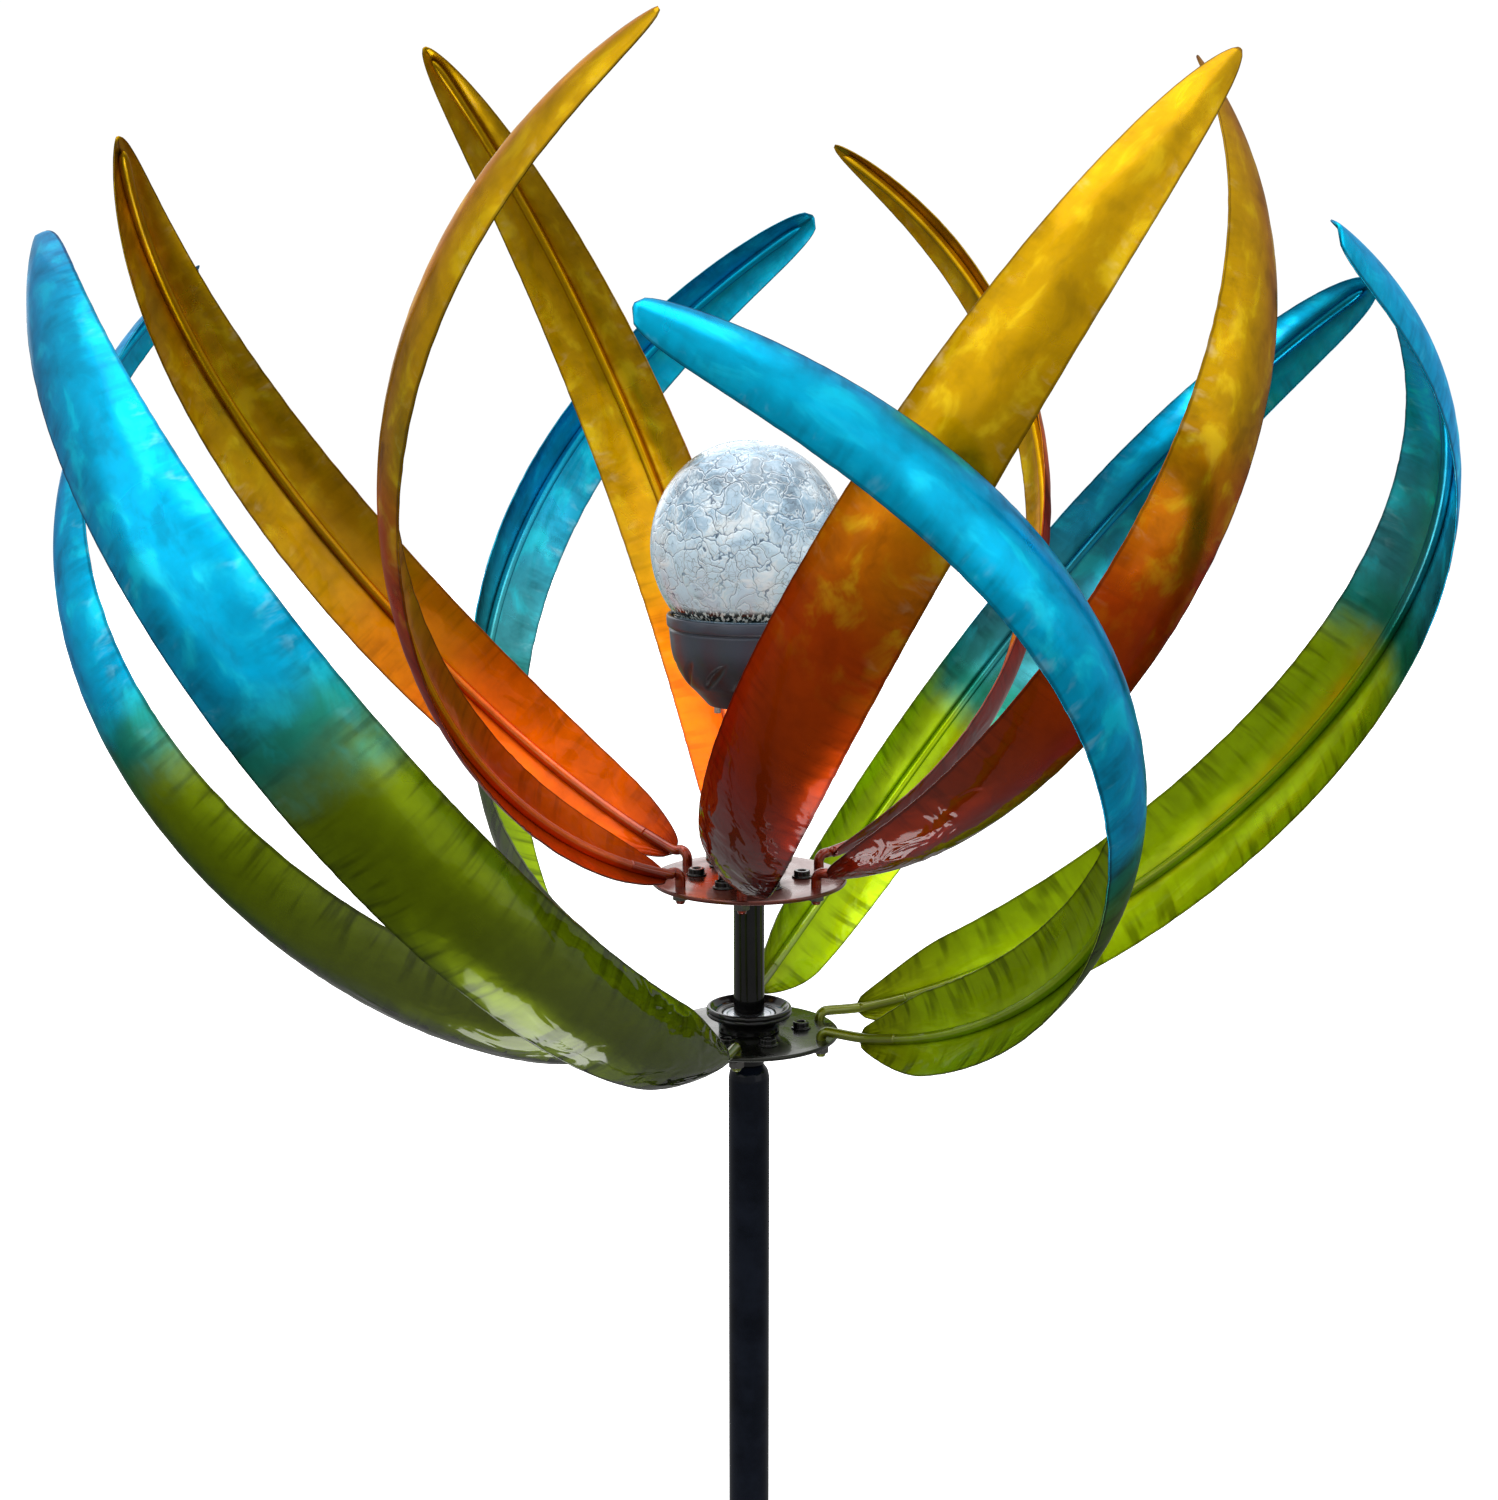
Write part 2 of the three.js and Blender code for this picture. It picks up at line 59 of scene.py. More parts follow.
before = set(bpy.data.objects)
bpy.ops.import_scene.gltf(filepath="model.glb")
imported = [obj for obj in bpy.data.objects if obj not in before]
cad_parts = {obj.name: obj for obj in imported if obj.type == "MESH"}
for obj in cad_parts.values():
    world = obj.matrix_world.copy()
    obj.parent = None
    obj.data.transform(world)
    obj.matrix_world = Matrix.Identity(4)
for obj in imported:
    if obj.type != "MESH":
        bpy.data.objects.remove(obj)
CAD_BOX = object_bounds()
NO_TRIANGLES = np.zeros((0, 3), int)
BLADES = 6  # in each tier
ROOT_LENGTH = 0.085  # share of the blade over which its root opens to full width
NECK, POINT = 0.0035, 0.002  # least half widths of the blade's lower and upper half
PATTERN = 0.010  # length that one unit of the relief's patterns covers
DIMPLE_DEPTH = 0.0013


# ---------------------------------------------------------------- settings


def paint_colour(red, green, blue):
    """Linear colour from 0-255 display values: the display curve undone channel by channel."""
    share = np.array([red, green, blue]) / 255
    low = share / 12.92
    high = ((share + 0.055) / 1.055) ** 2.4
    return tuple(float(c) for c in np.where(share <= 0.04045, low, high))


def length(name, description, default):
    return FloatProperty(
        name=name, description=description, default=default, unit="LENGTH", precision=4
    )


def place(name, description, default):
    return FloatVectorProperty(
        name=name, description=description, default=default, size=3, unit="LENGTH", precision=4
    )


def colour(name, description, default):
    return FloatVectorProperty(
        name=name, description=description, default=paint_colour(*default),
        size=3, min=0, max=1, subtype="COLOR",
    )


def angles(name, description, default):
    return FloatVectorProperty(
        name=name, description=description, default=[math.radians(a) for a in default],
        size=len(default), subtype="EULER" if len(default) == 3 else "NONE",
    )


def share(name, description, default):
    return FloatProperty(name=name, description=description, default=default, min=0, max=2)


class UpperTier(bpy.types.PropertyGroup):
    """The upper tier's leaf and colours."""

    root_taper: share("Root taper", "Share of the width left at the very root", 0.80)
    # Painted shade: how dark the cross ripples are painted.
    ripple_shade: share("Ripple shade", "How dark the coat is in the cross ripples", 0.22)
    root: place("Root", "Blade root, outwards, sideways and up from the hub", (0.040, 0, 0.0045))
    lower_pull: place("Lower pull", "First handle of the spine curve", (0.152, -0.014, 0.034))
    upper_pull: place("Upper pull", "Second handle of the spine curve", (0.258, 0.072, 0.217))
    tip: place("Tip", "Blade tip", (0.133, 0.170, 0.324))
    twist: angles("Twist", "Turn about the spine at the root, middle and tip", (32, 33, 12))
    half_width: length("Half width", "Half of the leaf's greatest width", 0.0232)
    fullness: share("Fullness", "Below 1 moves the widest part towards the root", 0.69)
    bluntness: share("Bluntness", "Small values give round ends", 0.53)
    hollow: share("Hollow", "Depth of the trough over the half width", 0.27)
    root_azimuth: angles("Root azimuth", "Where the first blade starts round the axis", (-93,))
    lift_heading: angles("Lift heading", "Direction in which lift raises a blade", (72,))
    clocking: angles("Clocking", "Each blade's own turn round the axis", (-2, 0, -1, 8, -4, 4))
    lift: angles("Lift", "Each blade's own rise", (-1, 4, -4, 7, -6, 1))
    stretch: FloatVectorProperty(
        name="Stretch", description="Each blade's own length", size=6,
        default=(1, 1, 1, 1, 0.98, 1),
    )
    inner_seam: share("Inner seam", "Where the coats meet on the hollow side", 0.31)
    outer_seam: share("Outer seam", "Where the coats meet on the back", 0.54)
    seam_spread: share("Seam spread", "Half the length over which the coats meet", 0.10)
    seam_shift: FloatVectorProperty(
        name="Seam shift", description="Each blade's own shift of the seam", size=6,
        default=(0.02, 0.05, 0, 0.02, -0.05, 0.03),
    )
    # Painted light and shade: each blade's coat colour made brighter or darker for how the light falls on it.
    painted_light_factor: FloatVectorProperty(
        name="Coat shade", description="Factor on each blade's own coat colour", size=6,
        default=(0.9, 0.85, 1, 1.1, 1, 0.9),
    )
    band_colour: colour("Band colour", "Hollow side just above the seam", (212, 152, 12))
    # The pearl patches' colour; mixed halfway to white it is also the painted highlight on the flecks.
    pearl_colour: colour("Pearl colour", "Pale flecks in the coat", (255, 224, 36))
    tip_colour: colour("Tip colour", "Gold at the tip", (192, 148, 5))
    upper_colour: colour("Upper colour", "Gold over the upper half", (202, 154, 0))
    middle_colour: colour("Middle colour", "Amber where the coats meet", (226, 126, 2))
    lower_colour: colour("Lower colour", "Orange over the lower half", (240, 98, 0))
    root_colour: colour("Root colour", "Copper red at the root", (164, 48, 4))
    outside_lower_colour: colour("Outer lower", "Copper over the back's lower half", (204, 72, 0))
    outside_root_colour: colour("Outer root", "Burnt copper at the back's root", (146, 42, 5))


class LowerTier(bpy.types.PropertyGroup):
    """The lower tier's leaf and colours."""

    root_taper: share("Root taper", "Share of the width left at the very root", 0.42)
    # Painted shade: how dark the cross ripples are painted.
    ripple_shade: share("Ripple shade", "How dark the coat is in the cross ripples", 0.50)
    root: place("Root", "Blade root, outwards, sideways and up from the hub", (0.051, 0, 0.003))
    lower_pull: place("Lower pull", "First handle of the spine curve", (0.186, -0.034, 0.017))
    upper_pull: place("Upper pull", "Second handle of the spine curve", (0.318, -0.178, 0.225))
    tip: place("Tip", "Blade tip", (0.080, -0.277, 0.328))
    twist: angles("Twist", "Turn about the spine at the root, middle and tip", (-64, -31, -6))
    half_width: length("Half width", "Half of the leaf's greatest width", 0.0235)
    fullness: share("Fullness", "Below 1 moves the widest part towards the root", 0.71)
    bluntness: share("Bluntness", "Small values give round ends", 0.34)
    hollow: share("Hollow", "Depth of the trough over the half width", 0.42)
    root_azimuth: angles("Root azimuth", "Where the first blade starts round the axis", (-93,))
    lift_heading: angles("Lift heading", "Direction in which lift raises a blade", (0,))
    clocking: angles("Clocking", "Each blade's own turn round the axis", (-6, 9, -3, 0, 0, 8.5))
    lift: angles("Lift", "Each blade's own rise", (5, 0, 1, 0, -12, -7))
    stretch: FloatVectorProperty(
        name="Stretch", description="Each blade's own length", size=6,
        default=(1, 0.93, 1, 0.95, 1.1, 0.985),
    )
    inner_seam: share("Inner seam", "Where the coats meet on the hollow side", 0.45)
    outer_seam: share("Outer seam", "Where the coats meet on the back", 0.46)
    seam_spread: share("Seam spread", "Half the length over which the coats meet", 0.05)
    seam_shift: FloatVectorProperty(
        name="Seam shift", description="Each blade's own shift of the seam", size=6,
        default=(-0.015, 0.02, -0.10, 0.03, 0, -0.02),
    )
    # Painted light and shade: each blade's coat colour made brighter or darker for how the light falls on it.
    painted_light_factor: FloatVectorProperty(
        name="Coat shade", description="Factor on each blade's own coat colour", size=6,
        default=(1, 1.12, 1.5, 1.18, 1.05, 1.05),
    )
    band_colour: colour("Band colour", "Hollow side just above the seam", (64, 160, 170))
    # The pearl patches' colour; mixed halfway to white it is also the painted highlight on the flecks.
    pearl_colour: colour("Pearl colour", "Pale flecks in the coat", (40, 238, 255))
    tip_colour: colour("Tip colour", "Cyan blue at the tip", (0, 160, 200))
    upper_colour: colour("Upper colour", "Bright blue over the upper half", (0, 178, 226))
    middle_colour: colour("Middle colour", "Teal where the coats meet", (36, 142, 122))
    lower_colour: colour("Lower colour", "Leaf green over the lower half", (160, 190, 8))
    root_colour: colour("Root colour", "Olive at the root", (132, 142, 4))
    outside_lower_colour: colour("Outer lower", "Olive over the back's lower half", (112, 132, 4))
    outside_root_colour: colour("Outer root", "Dark olive at the back's root", (96, 110, 6))


class SpinnerSettings(bpy.types.PropertyGroup):
    """Sizes and colours shared by the whole spinner."""

    aim_height: length("Aim height", "Height on the axis that the hollow sides face", 0.150)
    sheet: length("Sheet", "Thickness of the blade sheet", 0.0008)
    rib_radius: length("Rib radius", "Radius of the rib wire", 0.0021)
    rib_end: share("Rib end", "Share of the blade that the rib covers", 0.985)
    stem_circle: length("Stem circle", "Radius on which the stems pass the plate", 0.033)
    stem_below: length("Stem below", "Stem end below the plate", 0.0052)
    relief: length("Relief", "Height of the hammered relief", 0.00024)
    stations: IntProperty(name="Stations", description="Sections along a blade", default=200, min=20)
    columns: IntProperty(name="Columns", description="Points across a blade", default=30, min=6)
    round_steps: IntProperty(
        name="Round steps", description="Sides of a turned piece", default=96, min=16
    )
    dimples: IntProperty(name="Dimples", description="Oval dents round the lamp cup", default=12, min=3)
    black: colour("Black paint", "Gloss black of the cups and spacers", (8, 8, 9))
    pole: colour("Pole paint", "Blue-black of the pole", (3, 9, 22))
    copper: colour("Copper plate", "Copper brown of the upper hub", (96, 36, 22))
    olive: colour("Olive plate", "Dark olive of the lower hub", (32, 34, 26))
    plastic: colour("Plastic", "Charcoal plastic of the lamp cup", (24, 27, 40))
    glass: colour("Glass", "Pale tint of the globe", (226, 242, 252))
    camera_distance: length("Camera distance", "Camera to the axis, level", 0.969)
    camera_height: length("Camera height", "Camera above the upper hub", 0.245)
    camera_tilt: angles("Camera tilt", "How far the camera looks down", (11.15,))
    camera_lens: FloatProperty(name="Lens", description="Focal length in millimetres", default=57.2)
    upper: PointerProperty(type=UpperTier)
    lower: PointerProperty(type=LowerTier)


def settings():
    return bpy.context.scene.wind_spinner


# ---------------------------------------------------------------- mesh making


def build(name, points, quads, tris, uv, body, replaces=(), slot=None, material=None):
    """A mesh object from arrays. Faces are turned round as one if the volume they enclose is negative.

    points is N by 3, quads M by 4, tris K by 3, and uv one pair for each point.
    """
    corners = np.concatenate([quads[:, [0, 1, 2]], quads[:, [0, 2, 3]], tris])
    a, b, c = (points[corners[:, i]] for i in range(3))
    volume = np.einsum("ij,ij->i", a, np.cross(b, c)).sum()
    if volume < 0:
        quads, tris = quads[:, ::-1], tris[:, ::-1]
    loops = np.concatenate([quads.ravel(), tris.ravel()])
    counts = np.concatenate([np.full(len(quads), 4), np.full(len(tris), 3)])
    mesh = bpy.data.meshes.new(name)
    mesh.vertices.add(len(points))
    mesh.vertices.foreach_set("co", points.astype(np.float32).ravel())
    mesh.loops.add(len(loops))
    mesh.loops.foreach_set("vertex_index", loops.astype(np.int32))
    mesh.polygons.add(len(counts))
    mesh.polygons.foreach_set("loop_start", (np.cumsum(counts) - counts).astype(np.int32))
    mesh.polygons.foreach_set("use_smooth", np.ones(len(counts), bool))
    mesh.uv_layers.new(name="UVMap").data.foreach_set("uv", uv[loops].astype(np.float32).ravel())
    mesh.update(calc_edges=True)
    if mesh.validate():
        raise RuntimeError(f"{name} has faces that can't be used")
    piece = bpy.data.objects.new(name, mesh)
    bpy.context.scene.collection.objects.link(piece)
    if material:
        mesh.materials.append(material)
    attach(piece, body)
    if replaces:
        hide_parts(*replaces)
    return piece


def mark(piece, name, values):
    """A value for each point of a piece, which its finish reads by name."""
    kept = piece.data.attributes.new(name, "FLOAT", "POINT")
    kept.data.foreach_set("value", np.asarray(values, np.float32))


def grid_faces(rows, columns, wrap_rows=False):
    """Quads of a grid whose columns close on themselves, and whose rows do if wrap_rows is set."""
    i = np.arange(rows if wrap_rows else rows - 1)[:, None]
    j = np.arange(columns)[None, :]
    k, down = (j + 1) % columns, (i + 1) % rows
    quads = np.stack([i * columns + j, i * columns + k, down * columns + k, down * columns + j], -1)
    return quads.reshape(-1, 4)


def tube_surface(name, rings, uv, **about):
    """A skin through rings of points, closed at both ends by quads that pair each ring's two halves."""
    rows, columns = rings.shape[:2]
    j = np.arange(columns // 2 - 1)
    first = np.stack([j, columns - 1 - j, columns - 2 - j, j + 1], -1)
    last = first[:, ::-1] + (rows - 1) * columns
    quads = np.concatenate([grid_faces(rows, columns), first, last])
    return build(name, rings.reshape(-1, 3), quads, NO_TRIANGLES, uv.reshape(-1, 2), **about)


def fan(centre, ring, flip):
    """Triangles from one point to each side of a closed ring."""
    after = np.roll(ring, -1)
    middle = np.full(len(ring), centre)
    return np.stack([middle, after, ring] if flip else [middle, ring, after], -1)


def eased(corners, radius, steps=4):
    """An outline with each corner rounded by an arc-like curve of that size.

    Each corner becomes a quadratic curve between points set back along its two sides, with one more
    point further back to hold the flat. A corner on the axis is kept as it is.
    """
    corners = np.array(corners, float)
    closed = np.allclose(corners[0], corners[-1])
    if closed:
        corners = corners[:-1]
    count = len(corners)
    outline = []
    t = np.linspace(0, 1, steps + 1)[:, None]
    for i, corner in enumerate(corners):
        if not closed and i in (0, count - 1):
            outline.append(corner[None])
            continue
        back = corners[i - 1] - corner
        on = corners[(i + 1) % count] - corner
        near, far = np.linalg.norm(back), np.linalg.norm(on)
        size = min(radius, near * 0.4, far * 0.4)
        start, end = corner + back / near * size, corner + on / far * size
        arc = (1 - t) ** 2 * start + 2 * t * (1 - t) * corner + t**2 * end
        hold = 0.15 * size
        outline.append(np.concatenate([
            (start + back / near * hold)[None], arc, (end + on / far * hold)[None]
        ]))
    outline = np.concatenate(outline)
    return np.concatenate([outline, outline[:1]]) if closed else outline


def turned(name, outline, centre=(0, 0), steps=None, shape=None, **about):
    """A turned piece: the outline, as radius and height, carried round the vertical through centre.

    An outline that closes on itself gives a ring. Otherwise both its ends lie on the axis, and each
    end is one point. shape gives what to add to the radius, from each point's angle, height and radius.
    """
    steps = steps or settings().round_steps
    closed = np.allclose(outline[0], outline[-1])
    rows = outline[:-1] if closed else outline[1:-1]
    turn = np.linspace(0, 2 * np.pi, steps, endpoint=False)[None, :]
    radius, height = np.broadcast_arrays(rows[:, :1], rows[:, 1:], turn)[:2]
    if shape is not None:
        radius = radius + shape(turn + 0 * radius, height, radius)
    x = centre[0] + radius * np.cos(turn)
    y = centre[1] + radius * np.sin(turn)
    points = np.stack([x, y, height + 0 * x], -1).reshape(-1, 3)
    along = np.linspace(0, 1, len(rows))[:, None]
    uv = np.stack(np.broadcast_arrays(turn / (2 * np.pi), along), -1).reshape(-1, 2)
    quads = grid_faces(len(rows), steps, wrap_rows=closed)
    tris = NO_TRIANGLES
    if not closed:
        low, high = len(points), len(points) + 1
        ends = [[centre[0], centre[1], outline[0][1]], [centre[0], centre[1], outline[-1][1]]]
        points = np.concatenate([points, ends])
        uv = np.concatenate([uv, [[0.5, 0], [0.5, 1]]])
        ring = np.arange(steps)
        tris = np.concatenate([fan(low, ring, True), fan(high, ring + (len(rows) - 1) * steps, False)])
    return build(name, points, quads, tris, uv, **about)


def ripple(x, y, seed, waves=14, low=0.6, high=1.6):
    """Smooth seeded noise of about unit height: a sum of sine waves of random direction and phase."""
    chance = np.random.default_rng(seed)
    heading = chance.uniform(0, 2 * np.pi, waves)
    size = chance.uniform(low, high, waves)
    phase = chance.uniform(0, 2 * np.pi, waves)
    total = 0
    for h, s, p in zip(heading, size, phase):
        total = total + np.sin(2 * np.pi * s * (x * np.cos(h) + y * np.sin(h)) + p)
    return total / math.sqrt(waves)


def smooth_step(value, low, high):
    """0 below low, 1 above high, and a smooth S between."""
    t = np.clip((value - low) / (high - low), 0, 1)
    return t * t * (3 - 2 * t)


# ---------------------------------------------------------------- blades


def turn_about(axis, angle):
    """The rotation matrix about a unit axis."""
    x, y, z = axis
    cross = np.array([[0, -z, y], [z, 0, -x], [-y, x, 0]])
    return np.eye(3) + math.sin(angle) * cross + (1 - math.cos(angle)) * cross @ cross


def unit(vectors):
    """Rows of vectors, each made one long."""
    return vectors / np.linalg.norm(vectors, axis=1)[:, None]


def cubic(p, t):
    """The Bezier curve through four handles, at parameters t."""
    return (1 - t) ** 3 * p[0] + 3 * t * (1 - t) ** 2 * p[1] + 3 * t**2 * (1 - t) * p[2] + t**3 * p[3]


def spine_points(tier, u):
    """Points of the cubic spine at shares u of its length, from a fine table of its arc length."""
    p = [np.array(v) for v in (tier.root, tier.lower_pull, tier.upper_pull, tier.tip)]
    t = np.linspace(0, 1, 2001)[:, None]
    steps = np.linalg.norm(np.diff(cubic(p, t), axis=0), axis=1)
    reach = np.concatenate([[0], np.cumsum(steps)])
    at = np.interp(u * reach[-1], reach, t[:, 0])[:, None]
    slope = (1 - at) ** 2 * (p[1] - p[0]) + 2 * at * (1 - at) * (p[2] - p[1]) + at**2 * (p[3] - p[2])
    return cubic(p, at), unit(slope), reach[-1]


def blade_frame(tier, u):
    """Spine point, width direction, hollow-side direction at shares u, and the blade's length.

    The hollow side faces the aim point on the axis, and is then turned about the spine by the twist,
    a parabola through its three values.
    """
    point, along, reach = spine_points(tier, u)
    inwards = np.array([0, 0, settings().aim_height]) - point
    inwards = unit(inwards - (inwards * along).sum(1)[:, None] * along)
    across = np.cross(along, inwards)
    a, b, c = tier.twist
    twist = (a * (1 - u) * (1 - 2 * u) + 4 * b * u * (1 - u) + c * u * (2 * u - 1))[:, None]
    side = np.cos(twist) * across + np.sin(twist) * inwards
    hollow = np.cos(twist) * inwards - np.sin(twist) * across
    return point, side, hollow, reach


def leaf_half_width(tier, u):
    """Half width along the leaf: a power of a sine over a power of u, narrowed at the root.

    Near its ends it is never under the neck's or the point's half width, which close as a square root.
    """
    leaf = tier.half_width * np.sin(np.pi * u**tier.fullness) ** tier.bluntness
    opened = np.sin(np.pi / 2 * np.clip(u / ROOT_LENGTH, 0, 1))
    leaf = leaf * (tier.root_taper + (1 - tier.root_taper) * opened)
    closing = np.sqrt(np.clip(np.minimum(u, 1 - u) / 0.004, 0.1, 1))
    return np.maximum(leaf, np.where(u < 0.5, NECK, POINT) * closing)


def blade_azimuth(tier, index):
    """The angle round the axis at which a blade's root stands."""
    return tier.root_azimuth[0] + index * 2 * math.pi / BLADES + tier.clocking[index]


def rib_height():
    """From the middle of the sheet to the middle of the rib, which is sunk a little into its weld."""
    s = settings()
    return s.sheet / 2 + 0.86 * s.rib_radius


def set_in_place(points, tier, index, hub_height):
    """A blade's points stretched and raised about its root, turned to its place and put at its hub."""
    root = np.array(tier.root)
    heading = tier.lift_heading[0]
    hinge = np.array([math.sin(heading), -math.cos(heading), 0])
    points = root + tier.stretch[index] * (points - root) @ turn_about(hinge, tier.lift[index]).T
    return points @ turn_about((0, 0, 1), blade_azimuth(tier, index)).T + [0, 0, hub_height]


def painted_share(tier, index, u):
    """A point's share of the blade as the paint takes it, moved by the blade's own seam shift."""
    return u + tier.seam_shift[index] * np.sin(np.pi * u)


def blade_piece(tier, title, index, hub_height, body, material):
    """One leaf blade: a curved trough of sheet with hammered relief and softly rippled edges.

    Across the leaf, v runs from -1 to 1 and the trough's depth is hollow x half width x v squared.
    The relief adds cross ripples that grow towards the edges and the root, and shallow dents. It fades
    out beside the rib and at both ends.
    """
    s = settings()
    even = np.linspace(0, 1, s.stations)
    closer_at_ends = 0.16
    u = np.clip(even - closer_at_ends * np.sin(2 * np.pi * even) / (2 * np.pi), 0, 1)
    point, side, hollow, reach = blade_frame(tier, u)
    half = leaf_half_width(tier, u)
    seed = index + (100 if title == "upper" else 200)
    travel = u * reach / PATTERN
    half = half * (1 + 0.003 * ripple(travel, 0 * travel, seed + 7))
    quarter = 0.97 * np.pi / 2
    v = np.sin(np.linspace(-1, 1, s.columns) * quarter) / math.sin(quarter)
    edge = s.sheet / 2
    rim = np.linspace(0, np.pi, 5)[1:-1]
    cross_v = np.concatenate([v, 1 + 0 * rim, v[::-1], -1 + 0 * rim])
    cross_offset = np.concatenate([edge + 0 * v, edge * np.cos(rim), -edge + 0 * v, -edge * np.cos(rim)])
    cross_out = np.concatenate([0 * v, edge * np.sin(rim), 0 * v, -edge * np.sin(rim)])
    uu, vv = travel[:, None], cross_v[None, :]
    width = half[:, None]
    yy = vv * width / PATTERN
    edgewise = np.abs(vv) ** 2.2
    rootwise = 1 - smooth_step(u, 0.0, 0.35)[:, None]
    wander = 0.35 * ripple(uu * 0.35, yy * 0.2, seed)
    tight = np.sin(2 * np.pi * (uu * 1.15 + 0.22 * np.abs(yy) + wander))
    cross = tight * (0.1 + 0.9 * edgewise) * (0.3 + 0.7 * rootwise)
    dents = ripple(uu * 0.6, yy * 0.5, seed + 3) * 0.3
    relief = s.relief * (cross * ripple(uu * 0.3, yy * 0.5, seed + 5) + dents)
    fade = np.sqrt(np.sin(np.pi * np.clip(u, 0.001, 0.999)))[:, None]
    fade = smooth_step(np.abs(yy), 0.25, 0.6) * fade
    depth = tier.hollow * width * vv**2 + cross_offset[None, :] + relief * fade
    spread = vv * width + cross_out[None, :]
    rings = point[:, None] + spread[..., None] * side[:, None] + depth[..., None] * hollow[:, None]
    painted = painted_share(tier, index, u)
    uv = np.stack(np.broadcast_arrays(painted[:, None], (vv + 1) / 2), -1)
    node = f"{title}_blade_{index + 1}"
    rings = set_in_place(rings.reshape(-1, 3), tier, index, hub_height).reshape(rings.shape)
    piece = tube_surface(
        f"{title}_leaf_{index + 1}", rings, uv, body=body, replaces=[node],
        slot=f"{title}_paint", material=material,
    )
    inside = np.zeros(rings.shape[:2], np.float32)
    inside[:, : s.columns] = 1
    mark(piece, "hollow_side", inside.ravel())
    # Each blade's painted light factor, which its finish reads to make the blade brighter or darker.
    mark(piece, "painted_light_factor", np.full(inside.size, tier.painted_light_factor[index]))


def rib_piece(tier, title, index, hub_height, body, material):
    """The round rib along the hollow side, with a flared foot where its weld meets the sheet.

    Its section is a circle whose lower part widens with the square of its depth, and its end is a dome.
    """
    s = settings()
    u = np.linspace(0, s.rib_end, s.stations)
    point, side, hollow, _ = blade_frame(tier, u)
    turn = np.linspace(0, 2 * np.pi, 20, endpoint=False)
    across, up = np.cos(turn), np.sin(turn)
    foot = 1 + 0.75 * np.clip(-up, 0, 1) ** 2 * (across**2 > 0.001)
    to_end = ((u - u[-6]) / (u[-1] - u[-6])).clip(0, 1)
    dome = np.sqrt(np.clip(1 - to_end**2, 0.02, 1))
    size = s.rib_radius * dome
    shape_x = (across * foot)[None, :] * size[:, None]
    shape_y = up[None, :] * size[:, None] + rib_height()
    rings = point[:, None] + shape_x[..., None] * side[:, None] + shape_y[..., None] * hollow[:, None]
    painted = painted_share(tier, index, u)
    uv = np.stack(np.broadcast_arrays(painted[:, None], 0.5 + 0.1 * turn[None, :] / np.pi), -1)
    rings = set_in_place(rings.reshape(-1, 3), tier, index, hub_height).reshape(rings.shape)
    return tube_surface(
        f"{title}_rib_wire_{index + 1}", rings, uv, body=body,
        replaces=[f"{title}_rib_{index + 1}"], slot=f"{title}_wire", material=material,
    )


def swept(path, radius, sides=20):
    """Rings of a round section carried along a path, turned as little as possible between points."""
    along = unit(np.gradient(path, axis=0))
    normals = []
    normal = np.array([0.0, 1.0, 0.0])
    if abs(along[0] @ normal) > 0.9:
        normal = np.array([1.0, 0.0, 0.0])
    for direction in along:
        normal = normal - (normal @ direction) * direction
        normal = normal / np.linalg.norm(normal)
        normals.append(normal)
    normals = np.array(normals)
    across = np.cross(along, normals)
    turn = np.linspace(0, 2 * np.pi, sides, endpoint=False)[None, :, None]
    radius = np.broadcast_to(radius, len(path))[:, None, None]
    ring = np.cos(turn) * normals[:, None] + np.sin(turn) * across[:, None]
    return path[:, None] + radius * ring


def smooth_path(points, count):
    """A smooth path through a few points: Catmull-Rom spans, sampled evenly in each."""
    p = np.array(points, float)
    p = np.concatenate([2 * p[:1] - p[1:2], p, 2 * p[-1:] - p[-2:-1]])
    t = np.linspace(0, 1, count, endpoint=False)[:, None]
    spans = []
    for a, b, c, d in zip(p[:-3], p[1:-2], p[2:-1], p[3:]):
        spans.append(0.5 * (2 * b + (c - a) * t + (2 * a - 5 * b + 4 * c - d) * t**2
                            + (3 * b - a - 3 * c + d) * t**3))
    return np.concatenate([*spans, p[-2:-1]])


def stem_piece(tier, title, index, hub_height, body, material):
    """The rib's stem: up through the plate, over a tight bend and out to the blade's root."""
    s = settings()
    point, _, hollow, _ = blade_frame(tier, np.array([0.0, 0.02, 0.04]))
    on_blade = set_in_place(point + rib_height() * hollow, tier, index, 0)
    azimuth = blade_azimuth(tier, index)
    out = np.array([math.cos(azimuth), math.sin(azimuth), 0])
    up = np.array([0, 0, 1.0])
    rise = on_blade[0][2]
    bend = 0.0035
    turn = np.linspace(0, np.pi / 2, 9)[:, None]
    corner = out * (s.stem_circle + bend) + up * (rise - bend)
    arc = corner - out * bend * np.cos(turn) + up * bend * np.sin(turn)
    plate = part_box(f"{title}_hub_plate")
    thickness = plate[1].z - plate[0].z
    foot = out * s.stem_circle - up * (thickness + s.stem_below)
    straight = np.linspace(foot, arc[0], 8)[:-1]
    run = smooth_path([arc[-1], *on_blade], 8)[1:]
    path = np.concatenate([straight, arc, run]) + [0, 0, hub_height]
    radius = np.full(len(path), s.rib_radius * 1.02)
    radius[0] *= 0.8
    rings = swept(path, radius)
    shares = np.linspace(0, 0.02, len(path))[:, None] + np.zeros((1, rings.shape[1]))
    uv = np.stack([shares, 0.5 + 0 * shares], -1)
    return tube_surface(
        f"{title}_stem_{index + 1}", rings, uv, body=body, slot=f"{title}_wire", material=material
    )


# ---------------------------------------------------------------- finishes


